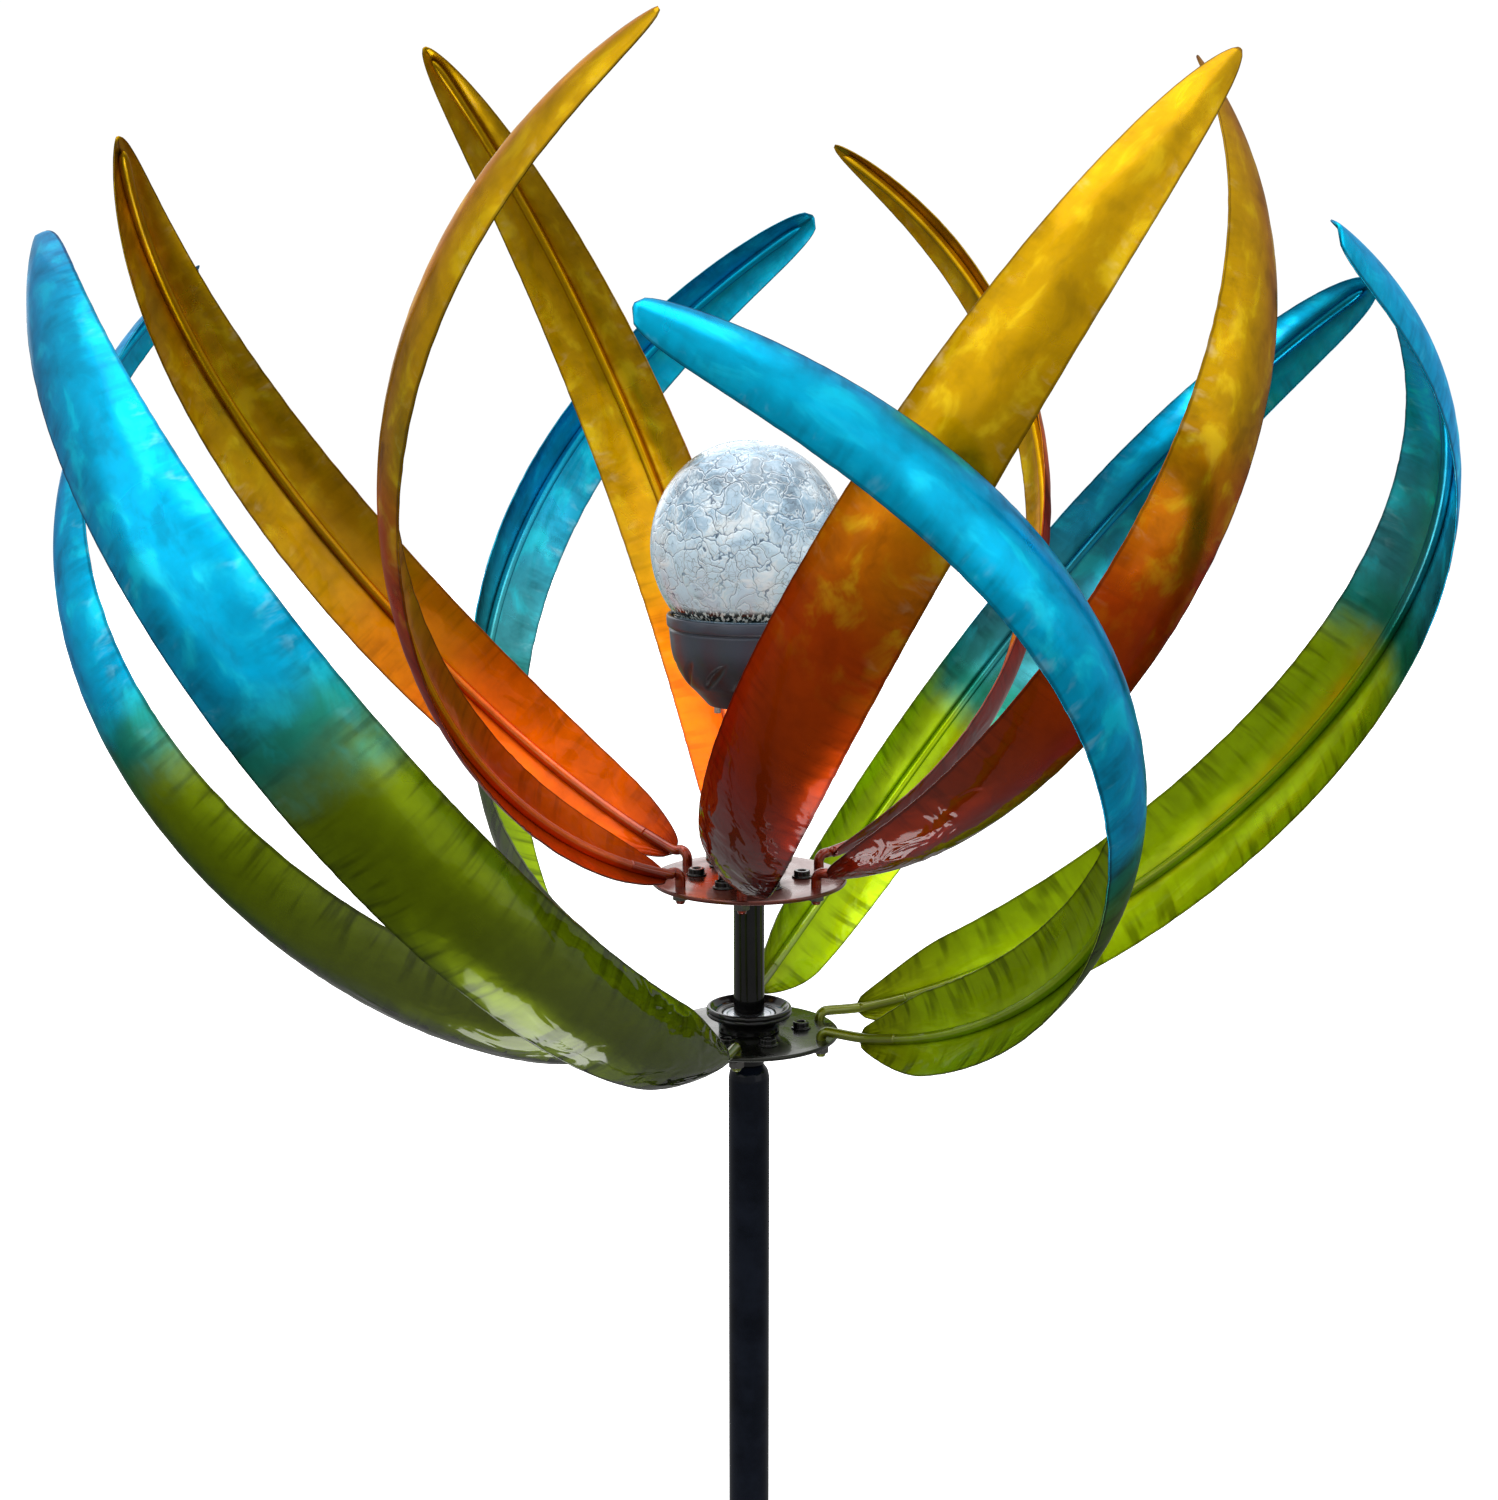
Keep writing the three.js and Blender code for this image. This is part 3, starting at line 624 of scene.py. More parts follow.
def node(tree, kind, values=None, **sockets):
    """A node with its own settings from values, and its named sockets set, or linked to a socket.

    A socket is named with _ for a space, or _0, _1 by its place.
    """
    made = tree.nodes.new(kind)
    for key, value in (values or {}).items():
        setattr(made, key, value)
    for key, value in sockets.items():
        name = key.replace("_", " ")
        named = [s for s in made.inputs if s.enabled and s.name == name]
        found = named[0] if named else made.inputs[int(key[1:])]
        if isinstance(value, bpy.types.NodeSocket):
            tree.links.new(value, found)
        else:
            found.default_value = value
    return made


def maths(tree, operation, first, second=0.0, clamp=False):
    own = {"operation": operation, "use_clamp": clamp}
    return node(tree, "ShaderNodeMath", own, _0=first, _1=second).outputs[0]


def times(tree, first, second):
    return maths(tree, "MULTIPLY", first, second)


def on_piece(tree):
    """The place on the piece, in metres in its own frame."""
    return node(tree, "ShaderNodeTexCoord").outputs["Object"]


def height_on_piece(tree, at):
    return node(tree, "ShaderNodeSeparateXYZ", Vector=at).outputs[2]


def carried(tree, name):
    """The value that the piece's points carry under that name."""
    return node(tree, "ShaderNodeAttribute", {"attribute_name": name}).outputs["Fac"]


def ramp(tree, factor, stops, interpolation="EASE"):
    """A colour ramp through (place, colour) stops."""
    made = node(tree, "ShaderNodeValToRGB", _0=factor)
    made.color_ramp.interpolation = interpolation
    points = made.color_ramp.elements
    while len(points) < len(stops):
        points.new(0.5)
    for point, (at, shade) in zip(points, stops):
        point.position = at
        point.color = (*shade, 1) if len(shade) == 3 else shade
    return made.outputs[0]


def grey(*stops):
    return [(at, (level, level, level)) for at, level in stops]


def blend_colours(tree, factor, first, second, kind="MIX"):
    made = node(tree, "ShaderNodeMix", {"data_type": "RGBA", "blend_type": kind})
    for socket, value in zip((made.inputs[0], made.inputs[6], made.inputs[7]), (factor, first, second)):
        if isinstance(value, bpy.types.NodeSocket):
            tree.links.new(value, socket)
        elif socket.type == "RGBA":
            socket.default_value = (*value[:3], 1)
        else:
            socket.default_value = value
    return made.outputs[2]


def noise(tree, vector, scale, detail=3.0, roughness=0.5, distortion=0.0):
    return node(
        tree, "ShaderNodeTexNoise", Vector=vector, Scale=scale, Detail=detail,
        Roughness=roughness, Distortion=distortion,
    ).outputs[0]


def moved_pattern(tree, source, scale=(1, 1, 1), turn=(0, 0, 0)):
    return node(tree, "ShaderNodeMapping", Vector=source, Scale=scale, Rotation=turn).outputs[0]


def bumps(tree, height, strength, distance, normal=None):
    made = node(tree, "ShaderNodeBump", Height=height, Strength=strength, Distance=distance)
    if normal:
        tree.links.new(normal, made.inputs["Normal"])
    return made.outputs[0]


def feed(tree, shader, **sockets):
    """Links each value to the shader's socket of that name."""
    for key, value in sockets.items():
        tree.links.new(value, shader.inputs[key.replace("_", " ")])


def finish_of(name, **fixed):
    """A new material with its shader's constant sockets set: the material, its tree and the shader."""
    made = bpy.data.materials.new(name)
    made.use_nodes = True
    tree = made.node_tree
    shader = tree.nodes["Principled BSDF"]
    for key, value in fixed.items():
        shader.inputs[key.replace("_", " ")].default_value = value
    return made, tree, shader


def shade(colour_set):
    return tuple(colour_set)[:3]


def coat_colours(tree, tier, at):
    """The coat's colours along the blade, on its hollow side and on its back."""
    inner, outer, spread = tier.inner_seam, tier.outer_seam, tier.seam_spread
    inside = ramp(tree, at, [
        (0.0, shade(tier.root_colour)), (0.10, shade(tier.lower_colour)),
        (inner - spread, shade(tier.lower_colour)), (inner, shade(tier.middle_colour)),
        (inner + spread, shade(tier.band_colour)), (inner + 0.28, shade(tier.upper_colour)),
        (1.0, shade(tier.tip_colour)),
    ])
    outside = ramp(tree, at, [
        (0.0, shade(tier.outside_root_colour)), (0.12, shade(tier.outside_root_colour)),
        (outer - spread, shade(tier.outside_lower_colour)), (outer, shade(tier.middle_colour)),
        (outer + spread, shade(tier.upper_colour)), (1.0, shade(tier.tip_colour)),
    ])
    return inside, outside


def leaf_marks(tree, tier, uv, share_on, across, side, base):
    """The marks of a blade's coat: painted highlight flecks, painted shade in the ripples, along the rib and
    at the rim, and pearl patches.

    The painted highlight flecks, where cross ripples catch the light, and the pearl patches lie above the
    seam, and the painted shade in the cross ripples lies below it and near the edges.
    The painted light factor, which makes each blade brighter or darker for how the light falls on it, scales
    the colour before the painted shade beside the rib and at the rim darkens it.
    """
    black = (0.0, 0.0, 0.0)
    off_middle = maths(tree, "ABSOLUTE", maths(tree, "SUBTRACT", across, 0.5))
    above_seam = ramp(tree, share_on, grey((0.38, 0.0), (0.56, 1.0), (0.92, 0.5)))
    # Painted highlight: pale flecks near the edges, above the seam, where the cross ripples catch the light.
    glint_pattern = noise(tree, moved_pattern(tree, uv, (70, 3.2, 1)), 1.0, 3, 0.55, 0.35)
    ripple_glint = times(
        tree, ramp(tree, glint_pattern, grey((0.54, 0.0), (0.74, 0.26))),
        ramp(tree, off_middle, grey((0.26, 0.0), (0.47, 1.0))),
    )
    pale = tuple(0.5 * c + 0.5 for c in shade(tier.pearl_colour))
    base = blend_colours(tree, times(tree, ripple_glint, above_seam), base, pale)
    # Painted shade: dark cross ripples, below the seam and towards the edges.
    stripe = noise(tree, moved_pattern(tree, uv, (115, 1.4, 1), (0, 0, 0.02)), 1.0, 2, 0.5, 0.2)
    shadow = times(
        tree, ramp(tree, stripe, grey((0.32, tier.ripple_shade), (0.54, 0.0))),
        ramp(tree, off_middle, grey((0.08, 0.10), (0.42, 1.0))),
    )
    shadow = times(tree, shadow, ramp(tree, share_on, grey((0.30, 1.0), (0.62, 0.35))))
    base = blend_colours(tree, shadow, base, black)
    pearl = noise(tree, moved_pattern(tree, uv, (22, 3.0, 1), (0, 0, 0.35)), 1.0, 4, 0.56, 0.4)
    patch = times(tree, ramp(tree, pearl, grey((0.50, 0.0), (0.68, 0.42))), above_seam)
    base = blend_colours(tree, patch, base, shade(tier.pearl_colour))
    dim = times(tree, ramp(tree, pearl, grey((0.30, 0.30), (0.48, 0.0))), above_seam)
    base = blend_colours(tree, dim, base, black)
    # Painted light and shade: each blade's colour scaled by its own painted light factor.
    base = node(
        tree, "ShaderNodeVectorMath", {"operation": "SCALE"}, _0=base, Scale=carried(tree, "painted_light_factor")
    ).outputs[0]
    # Painted shade: a dark line beside the rib on the hollow side, where the rib shades the sheet.
    weld = ramp(tree, off_middle, grey((0.03, 0.35), (0.085, 1.0)))
    # Painted shade: a dark outline along the blade's edges.
    rim = ramp(tree, off_middle, grey((0.478, 1.0), (0.497, 0.35)))
    base = blend_colours(tree, times(tree, side, 0.75), base, weld, "MULTIPLY")
    return blend_colours(tree, 0.75, base, rim, "MULTIPLY")


def candy_paint(name, tier, wire=False):
    """Blended candy lacquer over metal leaf: colour by the share along the blade, with soft mottling.

    The share is pushed about by noise, so that the coats meet in clouds. A blade has one run of colours
    on its hollow side and another on its back, and its marks. The wire has the hollow side's run, dulled
    at its root. The clear coat is thick at the root and thins out upwards, and the hollow side has little.
    """
    made, tree, shader = finish_of(name, Coat_Roughness=0.03, Coat_IOR=1.5, Metallic=0.9)
    uv = node(tree, "ShaderNodeUVMap", {"uv_map": "UVMap"}).outputs[0]
    at = on_piece(tree)
    share_on, across = node(tree, "ShaderNodeSeparateXYZ", Vector=uv).outputs[:2]
    cloud = noise(tree, at, 26, 4, 0.55, 0.4)
    fine = noise(tree, at, 130, 3, 0.6)
    shift = times(tree, maths(tree, "SUBTRACT", cloud, 0.5), 0.07)
    inside, outside = coat_colours(tree, tier, maths(tree, "ADD", share_on, shift, clamp=True))
    wet = ramp(tree, share_on, grey((0.0, 1.0), (0.16, 0.85), (0.34, 0.08)))
    if wire:
        # Darker towards the wire's root.
        worn = ramp(tree, share_on, grey((0.0, 0.75), (0.02, 0.7), (0.06, 0.85), (0.2, 1.0)))
        base = blend_colours(tree, 1.0, inside, worn, "MULTIPLY")
    else:
        side = carried(tree, "hollow_side")
        base = blend_colours(tree, side, outside, inside)
        wet = blend_colours(tree, side, wet, (0.12, 0.12, 0.12))
    patches = ramp(tree, cloud, grey((0.3, 0.55), (0.5, 0.85), (0.7, 1.0)))
    base = blend_colours(tree, 0.55, base, patches, "MULTIPLY")
    speckle = ramp(tree, fine, grey((0.35, 0.8), (0.65, 1.0)))
    base = blend_colours(tree, 0.5, base, speckle, "MULTIPLY")
    if not wire:
        base = leaf_marks(tree, tier, uv, share_on, across, side, base)
    gloss = maths(
        tree, "ADD", ramp(tree, cloud, grey((0.3, 0.36), (0.7, 0.22))),
        ramp(tree, share_on, grey((0.0, 0.22), (0.3, 0.04))),
    )
    feed(tree, shader, Base_Color=base, Specular_Tint=base, Roughness=gloss, Coat_Weight=wet)
    across_ripples = noise(tree, moved_pattern(tree, uv, (26, 3.2, 1)), 1.0, 2, 0.5, 0.6)
    lower_half = ramp(tree, share_on, grey((0.0, 1.0), (0.30, 0.35), (0.55, 0.0)))
    drips = times(tree, across_ripples, lower_half)
    dents = bumps(tree, noise(tree, at, 45, 2, 0.5), 0.16, 0.002, bumps(tree, drips, 0.22, 0.0035))
    feed(
        tree, shader, Coat_Normal=bumps(tree, drips, 0.55, 0.0035),
        Normal=bumps(tree, fine, 0.03, 0.0004, dents),
    )
    return made


def gloss_paint(name, base, roughness=0.22, coat=0.5, sheen=0.2):
    """Dark gloss enamel: faint cloudy colour, orange-peel relief and uneven gloss."""
    made, tree, shader = finish_of(
        name, Coat_Weight=coat, Coat_Roughness=0.05, Specular_IOR_Level=sheen
    )
    at = on_piece(tree)
    lighter = tuple(min(1, c * 1.35 + 0.004) for c in base)
    darker = tuple(c * 0.65 for c in base)
    gloss = grey((0.3, roughness * 0.85), (0.7, roughness * 1.2))
    feed(
        tree, shader, Base_Color=ramp(tree, noise(tree, at, 60, 4, 0.6), [(0.3, darker), (0.7, lighter)]),
        Roughness=ramp(tree, noise(tree, at, 90, 2), gloss),
        Normal=bumps(tree, noise(tree, at, 160, 2), 0.04, 0.0004),
    )
    return made


def plate_finish(name, front, dust):
    """A hub plate: copper or olive lacquer with dull dusty patches and fine slanting scratches."""
    made, tree, shader = finish_of(name, Coat_Weight=0.5, Coat_Roughness=0.1, Metallic=0.7)
    at = on_piece(tree)
    cloud = noise(tree, at, 55, 5, 0.6, 0.6)
    scratch = noise(tree, moved_pattern(tree, at, (300, 30, 60), (0, 0, 0.6)), 1.0, 2)
    stops = [(0.3, tuple(c * 0.5 for c in front)), (0.55, front), (0.75, dust)]
    feed(
        tree, shader, Base_Color=ramp(tree, cloud, stops),
        Roughness=ramp(tree, cloud, grey((0.3, 0.18), (0.7, 0.42))),
        Normal=bumps(tree, scratch, 0.15, 0.0004),
    )
    return made


def bare_metal(name, base, roughness=0.3, turned_lines=True):
    """Steel or zinc: fine lines round the piece, cloudy plating and a little grime."""
    made, tree, shader = finish_of(name, Metallic=1.0)
    at = on_piece(tree)
    cloud = noise(tree, at, 220, 4, 0.6)
    dirt = tuple(c * 0.35 for c in base)
    feed(
        tree, shader, Base_Color=ramp(tree, cloud, [(0.28, dirt), (0.5, base), (1.0, base)]),
        Roughness=ramp(tree, cloud, grey((0.3, roughness * 1.5), (0.7, roughness))),
    )
    if turned_lines:
        lines = noise(tree, moved_pattern(tree, at, (20, 20, 4000)), 1.0, 2)
        feed(tree, shader, Normal=bumps(tree, lines, 0.12, 0.0003))
    return made


def cup_plastic(name, base):
    """Moulded charcoal plastic with a satin skin, fine grain and clouded colour.

    A painted highlight makes it paler over its upper wall, and painted shade makes it nearly black in the
    dimples.
    """
    made, tree, shader = finish_of(name, Coat_Weight=0.2, Coat_Roughness=0.22)
    at = on_piece(tree)
    cloud = noise(tree, at, 70, 5, 0.6)
    stops = [(0.3, tuple(c * 0.7 for c in base)), (0.7, tuple(c * 1.35 for c in base))]
    low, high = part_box("lamp_cup")
    rise = maths(tree, "SUBTRACT", height_on_piece(tree, at), low.z)
    # Painted highlight: a paler blue-grey over the upper wall.
    upper_wall_highlight = ramp(tree, maths(tree, "DIVIDE", rise, high.z - low.z), grey((0.3, 0.0), (0.75, 0.7)))
    skin = blend_colours(tree, upper_wall_highlight, ramp(tree, cloud, stops), paint_colour(66, 76, 94))
    # Painted shade: the dimples darkened to nearly black.
    skin = blend_colours(tree, carried(tree, "dimple"), skin, (0.004, 0.005, 0.009))
    feed(
        tree, shader, Base_Color=skin, Roughness=ramp(tree, cloud, grey((0.3, 0.34), (0.7, 0.44))),
        Normal=bumps(tree, noise(tree, at, 900, 2), 0.12, 0.0003),
    )
    return made


def glass_tones(tree, at, haze, random, tint):
    """The glass's colour: hazy tints, a painted reflection that darkens it towards the crown, and a tone for
    each cell.
    """
    tones = ramp(tree, haze, [
        (0.30, paint_colour(176, 194, 208)), (0.40, paint_colour(224, 238, 248)), (0.50, shade(tint)),
        (0.64, (1.0, 1.0, 1.0)),
    ])
    # Painted reflection: the glass darker in a band below the crown.
    crown_reflection_depth = 0.070
    down = maths(tree, "SUBTRACT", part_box("lamp_globe")[1].z, height_on_piece(tree, at))
    down = maths(tree, "DIVIDE", down, crown_reflection_depth)
    down = maths(tree, "ADD", down, times(tree, maths(tree, "SUBTRACT", haze, 0.5), 1.1))
    crown_reflection = ramp(tree, down, [
        (0.06, paint_colour(190, 206, 218)), (0.20, paint_colour(112, 130, 144)),
        (0.38, paint_colour(190, 206, 218)), (0.56, (1, 1, 1)),
    ])
    tones = blend_colours(tree, 0.85, tones, crown_reflection, "MULTIPLY")
    cell_tone = ramp(tree, random, grey((0.0, 0.9), (0.3, 1.0), (1.0, 1.0)))
    return blend_colours(tree, 0.8, tones, cell_tone, "MULTIPLY")


def glass_cracks(tree, at, large, small, base):
    """Dark cracks where the distance to a cell's edge is small, at two sizes, with pale glints beside."""
    crack = ramp(tree, large, [
        (0.0, paint_colour(92, 106, 126)), (0.010, paint_colour(128, 142, 160)), (0.024, (1, 1, 1)),
    ], "LINEAR")
    vein = ramp(tree, small, grey((0.0, 0.34), (0.026, 0.5), (0.05, 1.0)), "LINEAR")
    glint = ramp(tree, large, grey((0.034, 0.0), (0.05, 1.0), (0.09, 0.0)), "LINEAR")
    broken = ramp(tree, noise(tree, at, 48, 3, 0.6), grey((0.36, 0.25), (0.54, 0.9)))
    shown = ramp(tree, noise(tree, at, 75, 3, 0.6), grey((0.38, 0.0), (0.56, 1.0)))
    base = blend_colours(tree, broken, base, crack, "MULTIPLY")
    base = blend_colours(tree, times(tree, shown, 0.75), base, vein, "MULTIPLY")
    return blend_colours(tree, times(tree, glint, 0.8), base, (1.0, 1.0, 1.0))


def crackle_glass(name, tint):
    """Pale clouded glass with a net of fine broken cracks, brightened by a faint glow of painted light.

    Each cell has its own roughness and its own level in the relief, and noise fades some of the cracks.
    Just above the neck the glass shows the dark panel below it, with its pale contact ends.
    """
    made, tree, shader = finish_of(
        name, IOR=1.46, Transmission_Weight=0.2, Coat_Weight=0.6, Coat_Roughness=0.03,
        # Painted light: a faint glow that brightens the glass.
        Emission_Strength=0.10,
    )
    at = on_piece(tree)
    wander = node(tree, "ShaderNodeTexNoise", Vector=at, Scale=90.0, Detail=3.0).outputs[1]
    warp = node(tree, "ShaderNodeVectorMath", {"operation": "SCALE"}, _0=wander, Scale=0.014).outputs[0]
    bent = node(tree, "ShaderNodeVectorMath", {"operation": "ADD"}, _0=at, _1=warp).outputs[0]
    cells = node(tree, "ShaderNodeTexVoronoi", {"feature": "F1"}, Vector=bent, Scale=125.0)
    random = node(tree, "ShaderNodeSeparateColor", Color=cells.outputs["Color"]).outputs[0]
    to_edge = {"feature": "DISTANCE_TO_EDGE"}
    large = node(tree, "ShaderNodeTexVoronoi", to_edge, Vector=bent, Scale=125.0).outputs[0]
    small = node(tree, "ShaderNodeTexVoronoi", to_edge, Vector=bent, Scale=330.0).outputs[0]
    haze = noise(tree, bent, 55, 4, 0.65, 0.8)
    base = glass_cracks(tree, at, large, small, glass_tones(tree, at, haze, random, tint))
    panel_depth = 0.0056
    low = maths(tree, "SUBTRACT", height_on_piece(tree, at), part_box("lamp_globe")[0].z)
    low = maths(tree, "DIVIDE", low, panel_depth)
    ticks = noise(tree, moved_pattern(tree, at, (900, 900, 90)), 1.0, 1)
    tick = ramp(tree, ticks, [(0.52, paint_colour(20, 34, 34)), (0.6, paint_colour(216, 228, 228))], "LINEAR")
    base = blend_colours(tree, 1.0, base, paint_colour(240, 250, 255), "MULTIPLY")
    base = blend_colours(tree, ramp(tree, low, grey((0.55, 1.0), (1.0, 0.0))), base, tick)
    ridge = ramp(tree, large, grey((0.0, 0.0), (0.08, 0.7), (0.3, 1.0)))
    feed(
        # The glass's own colour also glows faintly, as painted light.
        tree, shader, Base_Color=base, Emission_Color=base,
        Roughness=ramp(tree, random, grey((0.0, 0.03), (1.0, 0.16))),
        Normal=bumps(tree, random, 0.35, 0.002, bumps(tree, ridge, 0.5, 0.0008)),
    )
    return made


def solar_cell(name):
    """A round solar panel: near-black green cell under resin, with silver contact lines and bars."""
    made, tree, shader = finish_of(name, Coat_Weight=1.0, Coat_Roughness=0.04, Roughness=0.3)
    at = on_piece(tree)
    bar_gap, line_gap = 0.0070, 0.0022
    x, y = node(tree, "ShaderNodeSeparateXYZ", Vector=at).outputs[:2]
    bars = maths(tree, "LESS_THAN", maths(tree, "FRACT", times(tree, x, 1 / bar_gap)), 0.14)
    thin = maths(tree, "LESS_THAN", maths(tree, "FRACT", times(tree, y, 1 / line_gap)), 0.12)
    lines = maths(tree, "MAXIMUM", bars, times(tree, thin, 0.35))
    stops = [(0.3, paint_colour(10, 22, 20)), (0.7, paint_colour(22, 48, 44))]
    cell = ramp(tree, noise(tree, at, 220, 3), stops)
    feed(tree, shader, Base_Color=blend_colours(tree, lines, cell, paint_colour(190, 204, 200)))
    return made


def board_finish(name):
    """A green circuit board with paler tracks."""
    made, tree, shader = finish_of(name, Coat_Weight=0.6, Roughness=0.4)
    tracks = node(
        tree, "ShaderNodeTexBrick", {"offset": 0.3}, Vector=on_piece(tree), Scale=260.0, Mortar_Size=0.04
    ).outputs[1]
    stops = [(0.2, paint_colour(16, 74, 46)), (0.8, paint_colour(70, 140, 90))]
    feed(tree, shader, Base_Color=ramp(tree, tracks, stops), Normal=bumps(tree, tracks, 0.3, 0.0002))
    return made


def battery_finish(name):
    """A battery sleeve in two plain bands with a shrink-film sheen."""
    made, tree, shader = finish_of(name, Coat_Weight=0.7, Roughness=0.35)
    at = on_piece(tree)
    band_span = 0.050
    x = node(tree, "ShaderNodeSeparateXYZ", Vector=at).outputs[0]
    along = maths(tree, "ADD", times(tree, x, 1 / band_span), 0.5)
    band = ramp(tree, along, [
        (0.0, paint_colour(30, 96, 60)), (0.72, paint_colour(36, 110, 68)),
        (0.74, paint_colour(180, 184, 180)),
    ], "CONSTANT")
    feed(tree, shader, Base_Color=band, Normal=bumps(tree, noise(tree, at, 700, 2), 0.08, 0.0002))
    return made


def lamp_dome_finish(name):
    """The milky pink-tinted lens of the light in the panel's middle."""
    made, tree, shader = finish_of(name, Roughness=0.2, Transmission_Weight=0.3, Coat_Weight=0.6)
    stops = [(0.3, paint_colour(244, 214, 206)), (0.7, paint_colour(255, 240, 232))]
    feed(tree, shader, Base_Color=ramp(tree, noise(tree, on_piece(tree), 300, 2), stops))
    return made


def floor_finish(name):
    """White studio floor with the faintest clouding, which also gives light of its own."""
    made, tree, shader = finish_of(name, Roughness=0.9, Specular_IOR_Level=0.1, Emission_Strength=1.1)
    clouding = ramp(tree, noise(tree, on_piece(tree), 2, 2), grey((0.3, 0.93), (0.7, 0.95)))
    feed(tree, shader, Base_Color=clouding, Emission_Color=clouding)
    return made


FINISHES = {}


def finish(name):
    """The named finish, made the first time it is asked for."""
    s = settings()
    makers = {
        "upper_candy": lambda: candy_paint("upper_candy", s.upper),
        "lower_candy": lambda: candy_paint("lower_candy", s.lower),
        "upper_wire_candy": lambda: candy_paint("upper_wire_candy", s.upper, wire=True),
        "lower_wire_candy": lambda: candy_paint("lower_wire_candy", s.lower, wire=True),
        "black_enamel": lambda: gloss_paint("black_enamel", shade(s.black), sheen=0.1),
        "pole_enamel": lambda: gloss_paint("pole_enamel", shade(s.pole), 0.2, coat=0.12, sheen=0.08),
        "copper_plate": lambda: plate_finish("copper_plate", shade(s.copper), paint_colour(66, 50, 45)),
        "olive_plate": lambda: plate_finish("olive_plate", shade(s.olive), paint_colour(34, 34, 30)),
        "steel": lambda: bare_metal("steel", paint_colour(190, 194, 200), 0.25),
        "zinc": lambda: bare_metal("zinc", paint_colour(96, 94, 92), 0.36, turned_lines=False),
        "cup_plastic": lambda: cup_plastic("cup_plastic", shade(s.plastic)),
        "crackle_glass": lambda: crackle_glass("crackle_glass", s.glass),
        "solar_cell": lambda: solar_cell("solar_cell"),
        "board": lambda: board_finish("board"),
        "battery": lambda: battery_finish("battery"),
        "lens": lambda: lamp_dome_finish("lens"),
        "floor": lambda: floor_finish("floor"),
    }
    if name not in FINISHES:
        FINISHES[name] = makers[name]()
    return FINISHES[name]


# ---------------------------------------------------------------- hubs


def hub_top(title):
    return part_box(f"{title}_hub_plate")[1].z


def hex_nut(name, centre, bore, radius, low, high, **about):
    """A hexagon nut: its radius is the hexagon's, cut at both ends by a cone, round a plain bore.

    The hexagon's radius at an angle is flat / cos(angle folded into one sixth turn).
    """
    flat = radius * math.cos(math.pi / 6)
    chamfer = (high - low) * 0.16

    def hexagon(turn, height, outline_radius):
        fold = (turn + math.pi / 6) % (math.pi / 3) - math.pi / 6
        corner = flat / np.cos(fold)
        worn = np.minimum(corner, radius * 0.985)
        end = np.minimum(height - low, high - height)
        cone = flat * 0.97 + (end / chamfer) * (radius - flat * 0.97)
        wanted = np.minimum(worn, cone)
        return np.where(outline_radius > (bore + flat) / 2, wanted - outline_radius, 0)

    height = np.concatenate([
        np.linspace(low, low + chamfer, 5), np.linspace(low + chamfer, high - chamfer, 4)[1:],
        np.linspace(high - chamfer, high, 5)[1:],
    ])
    outer = np.stack([np.full(len(height), flat), height], -1)
    lead = 0.12 * bore
    inner = np.array([[bore + lead, high], [bore, high - lead], [bore, low + lead], [bore + lead, low]])
    outline = np.concatenate([outer, inner, outer[:1]])
    return turned(name, outline, centre, 72, hexagon, **about)


def cup_outline():
    """The bearing cup's outline above its plate: a straight foot, a flare and a double rolled lip."""
    foot, lip = 0.0003, 0.0108
    flare = smooth_path([
        (0.0129, foot + 0.0006), (0.0130, foot + 0.0024), (0.0139, foot + 0.0042), (0.0156, foot + 0.0060),
        (0.0166, lip - 0.0040),
    ], 6)
    roll = []
    for height, radius, size in ((lip - 0.0030, 0.0170, 0.0011), (lip - 0.0012, 0.0169, 0.0012)):
        turn = np.linspace(-1.2, 1.2, 9)
        roll.append(np.stack([radius + size * np.cos(turn), height + size * np.sin(turn)], -1))
    inner = smooth_path([
        (0.0166, lip), (0.0156, lip - 0.0010), (0.0138, foot + 0.0078), (0.0113, foot + 0.0074),
    ], 5)
    ends = np.array([(0.0113, foot + 0.0060), (0.0113, foot), (0.0126, foot), (0.0129, foot + 0.0003)])
    outline = np.concatenate([flare, *roll, inner, ends])
    return np.concatenate([outline, outline[:1]])


def bearing_outline():
    """A ball bearing seen from its end: outer ring, recessed shield and inner ring, all with eased edges."""
    low, high = 0.0003, 0.0073
    return eased([
        (0.0044, low), (0.0062, low), (0.0064, low + 0.0004), (0.0092, low + 0.0004), (0.0094, low),
        (0.0110, low), (0.0110, high), (0.0094, high), (0.0092, high - 0.0005), (0.0064, high - 0.0005),
        (0.0062, high), (0.0044, high), (0.0044, low),
    ], 0.0003, 3)


def plate_piece(title, body, material):
    """The hub plate: a flat disc, pierced in the middle, with a rim slightly thinner and rounded over."""
    low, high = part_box(f"{title}_hub_plate")
    radius = high.x
    outline = eased([
        (0.0074, low.z), (radius * 0.9, low.z), (radius, low.z + 0.0001), (radius, high.z - 0.0001),
        (radius * 0.9, high.z), (0.0074, high.z), (0.0074, low.z),
    ], 0.0008, 5)
    return turned(
        f"{title}_plate", outline, body=body, replaces=[f"{title}_hub_plate"],
        slot="copper_plate" if title == "upper" else "dark_plate", material=material,
    )


def screw_head(name, centre, base, body, material, radius=0.0034, height=0.0030):
    """A small cap screw on its washer: an eased cylinder with a round socket sunk in its top."""
    outline = eased([
        (0, base), (radius * 1.25, base), (radius * 1.25, base + height * 0.22),
        (radius, base + height * 0.24), (radius, base + height), (radius * 0.5, base + height),
        (radius * 0.42, base + height * 0.5), (0, base + height * 0.48),
    ], radius * 0.14, 3)
    return turned(name, outline, centre, 24, body=body, slot="black_paint", material=material)


# ---------------------------------------------------------------- stand


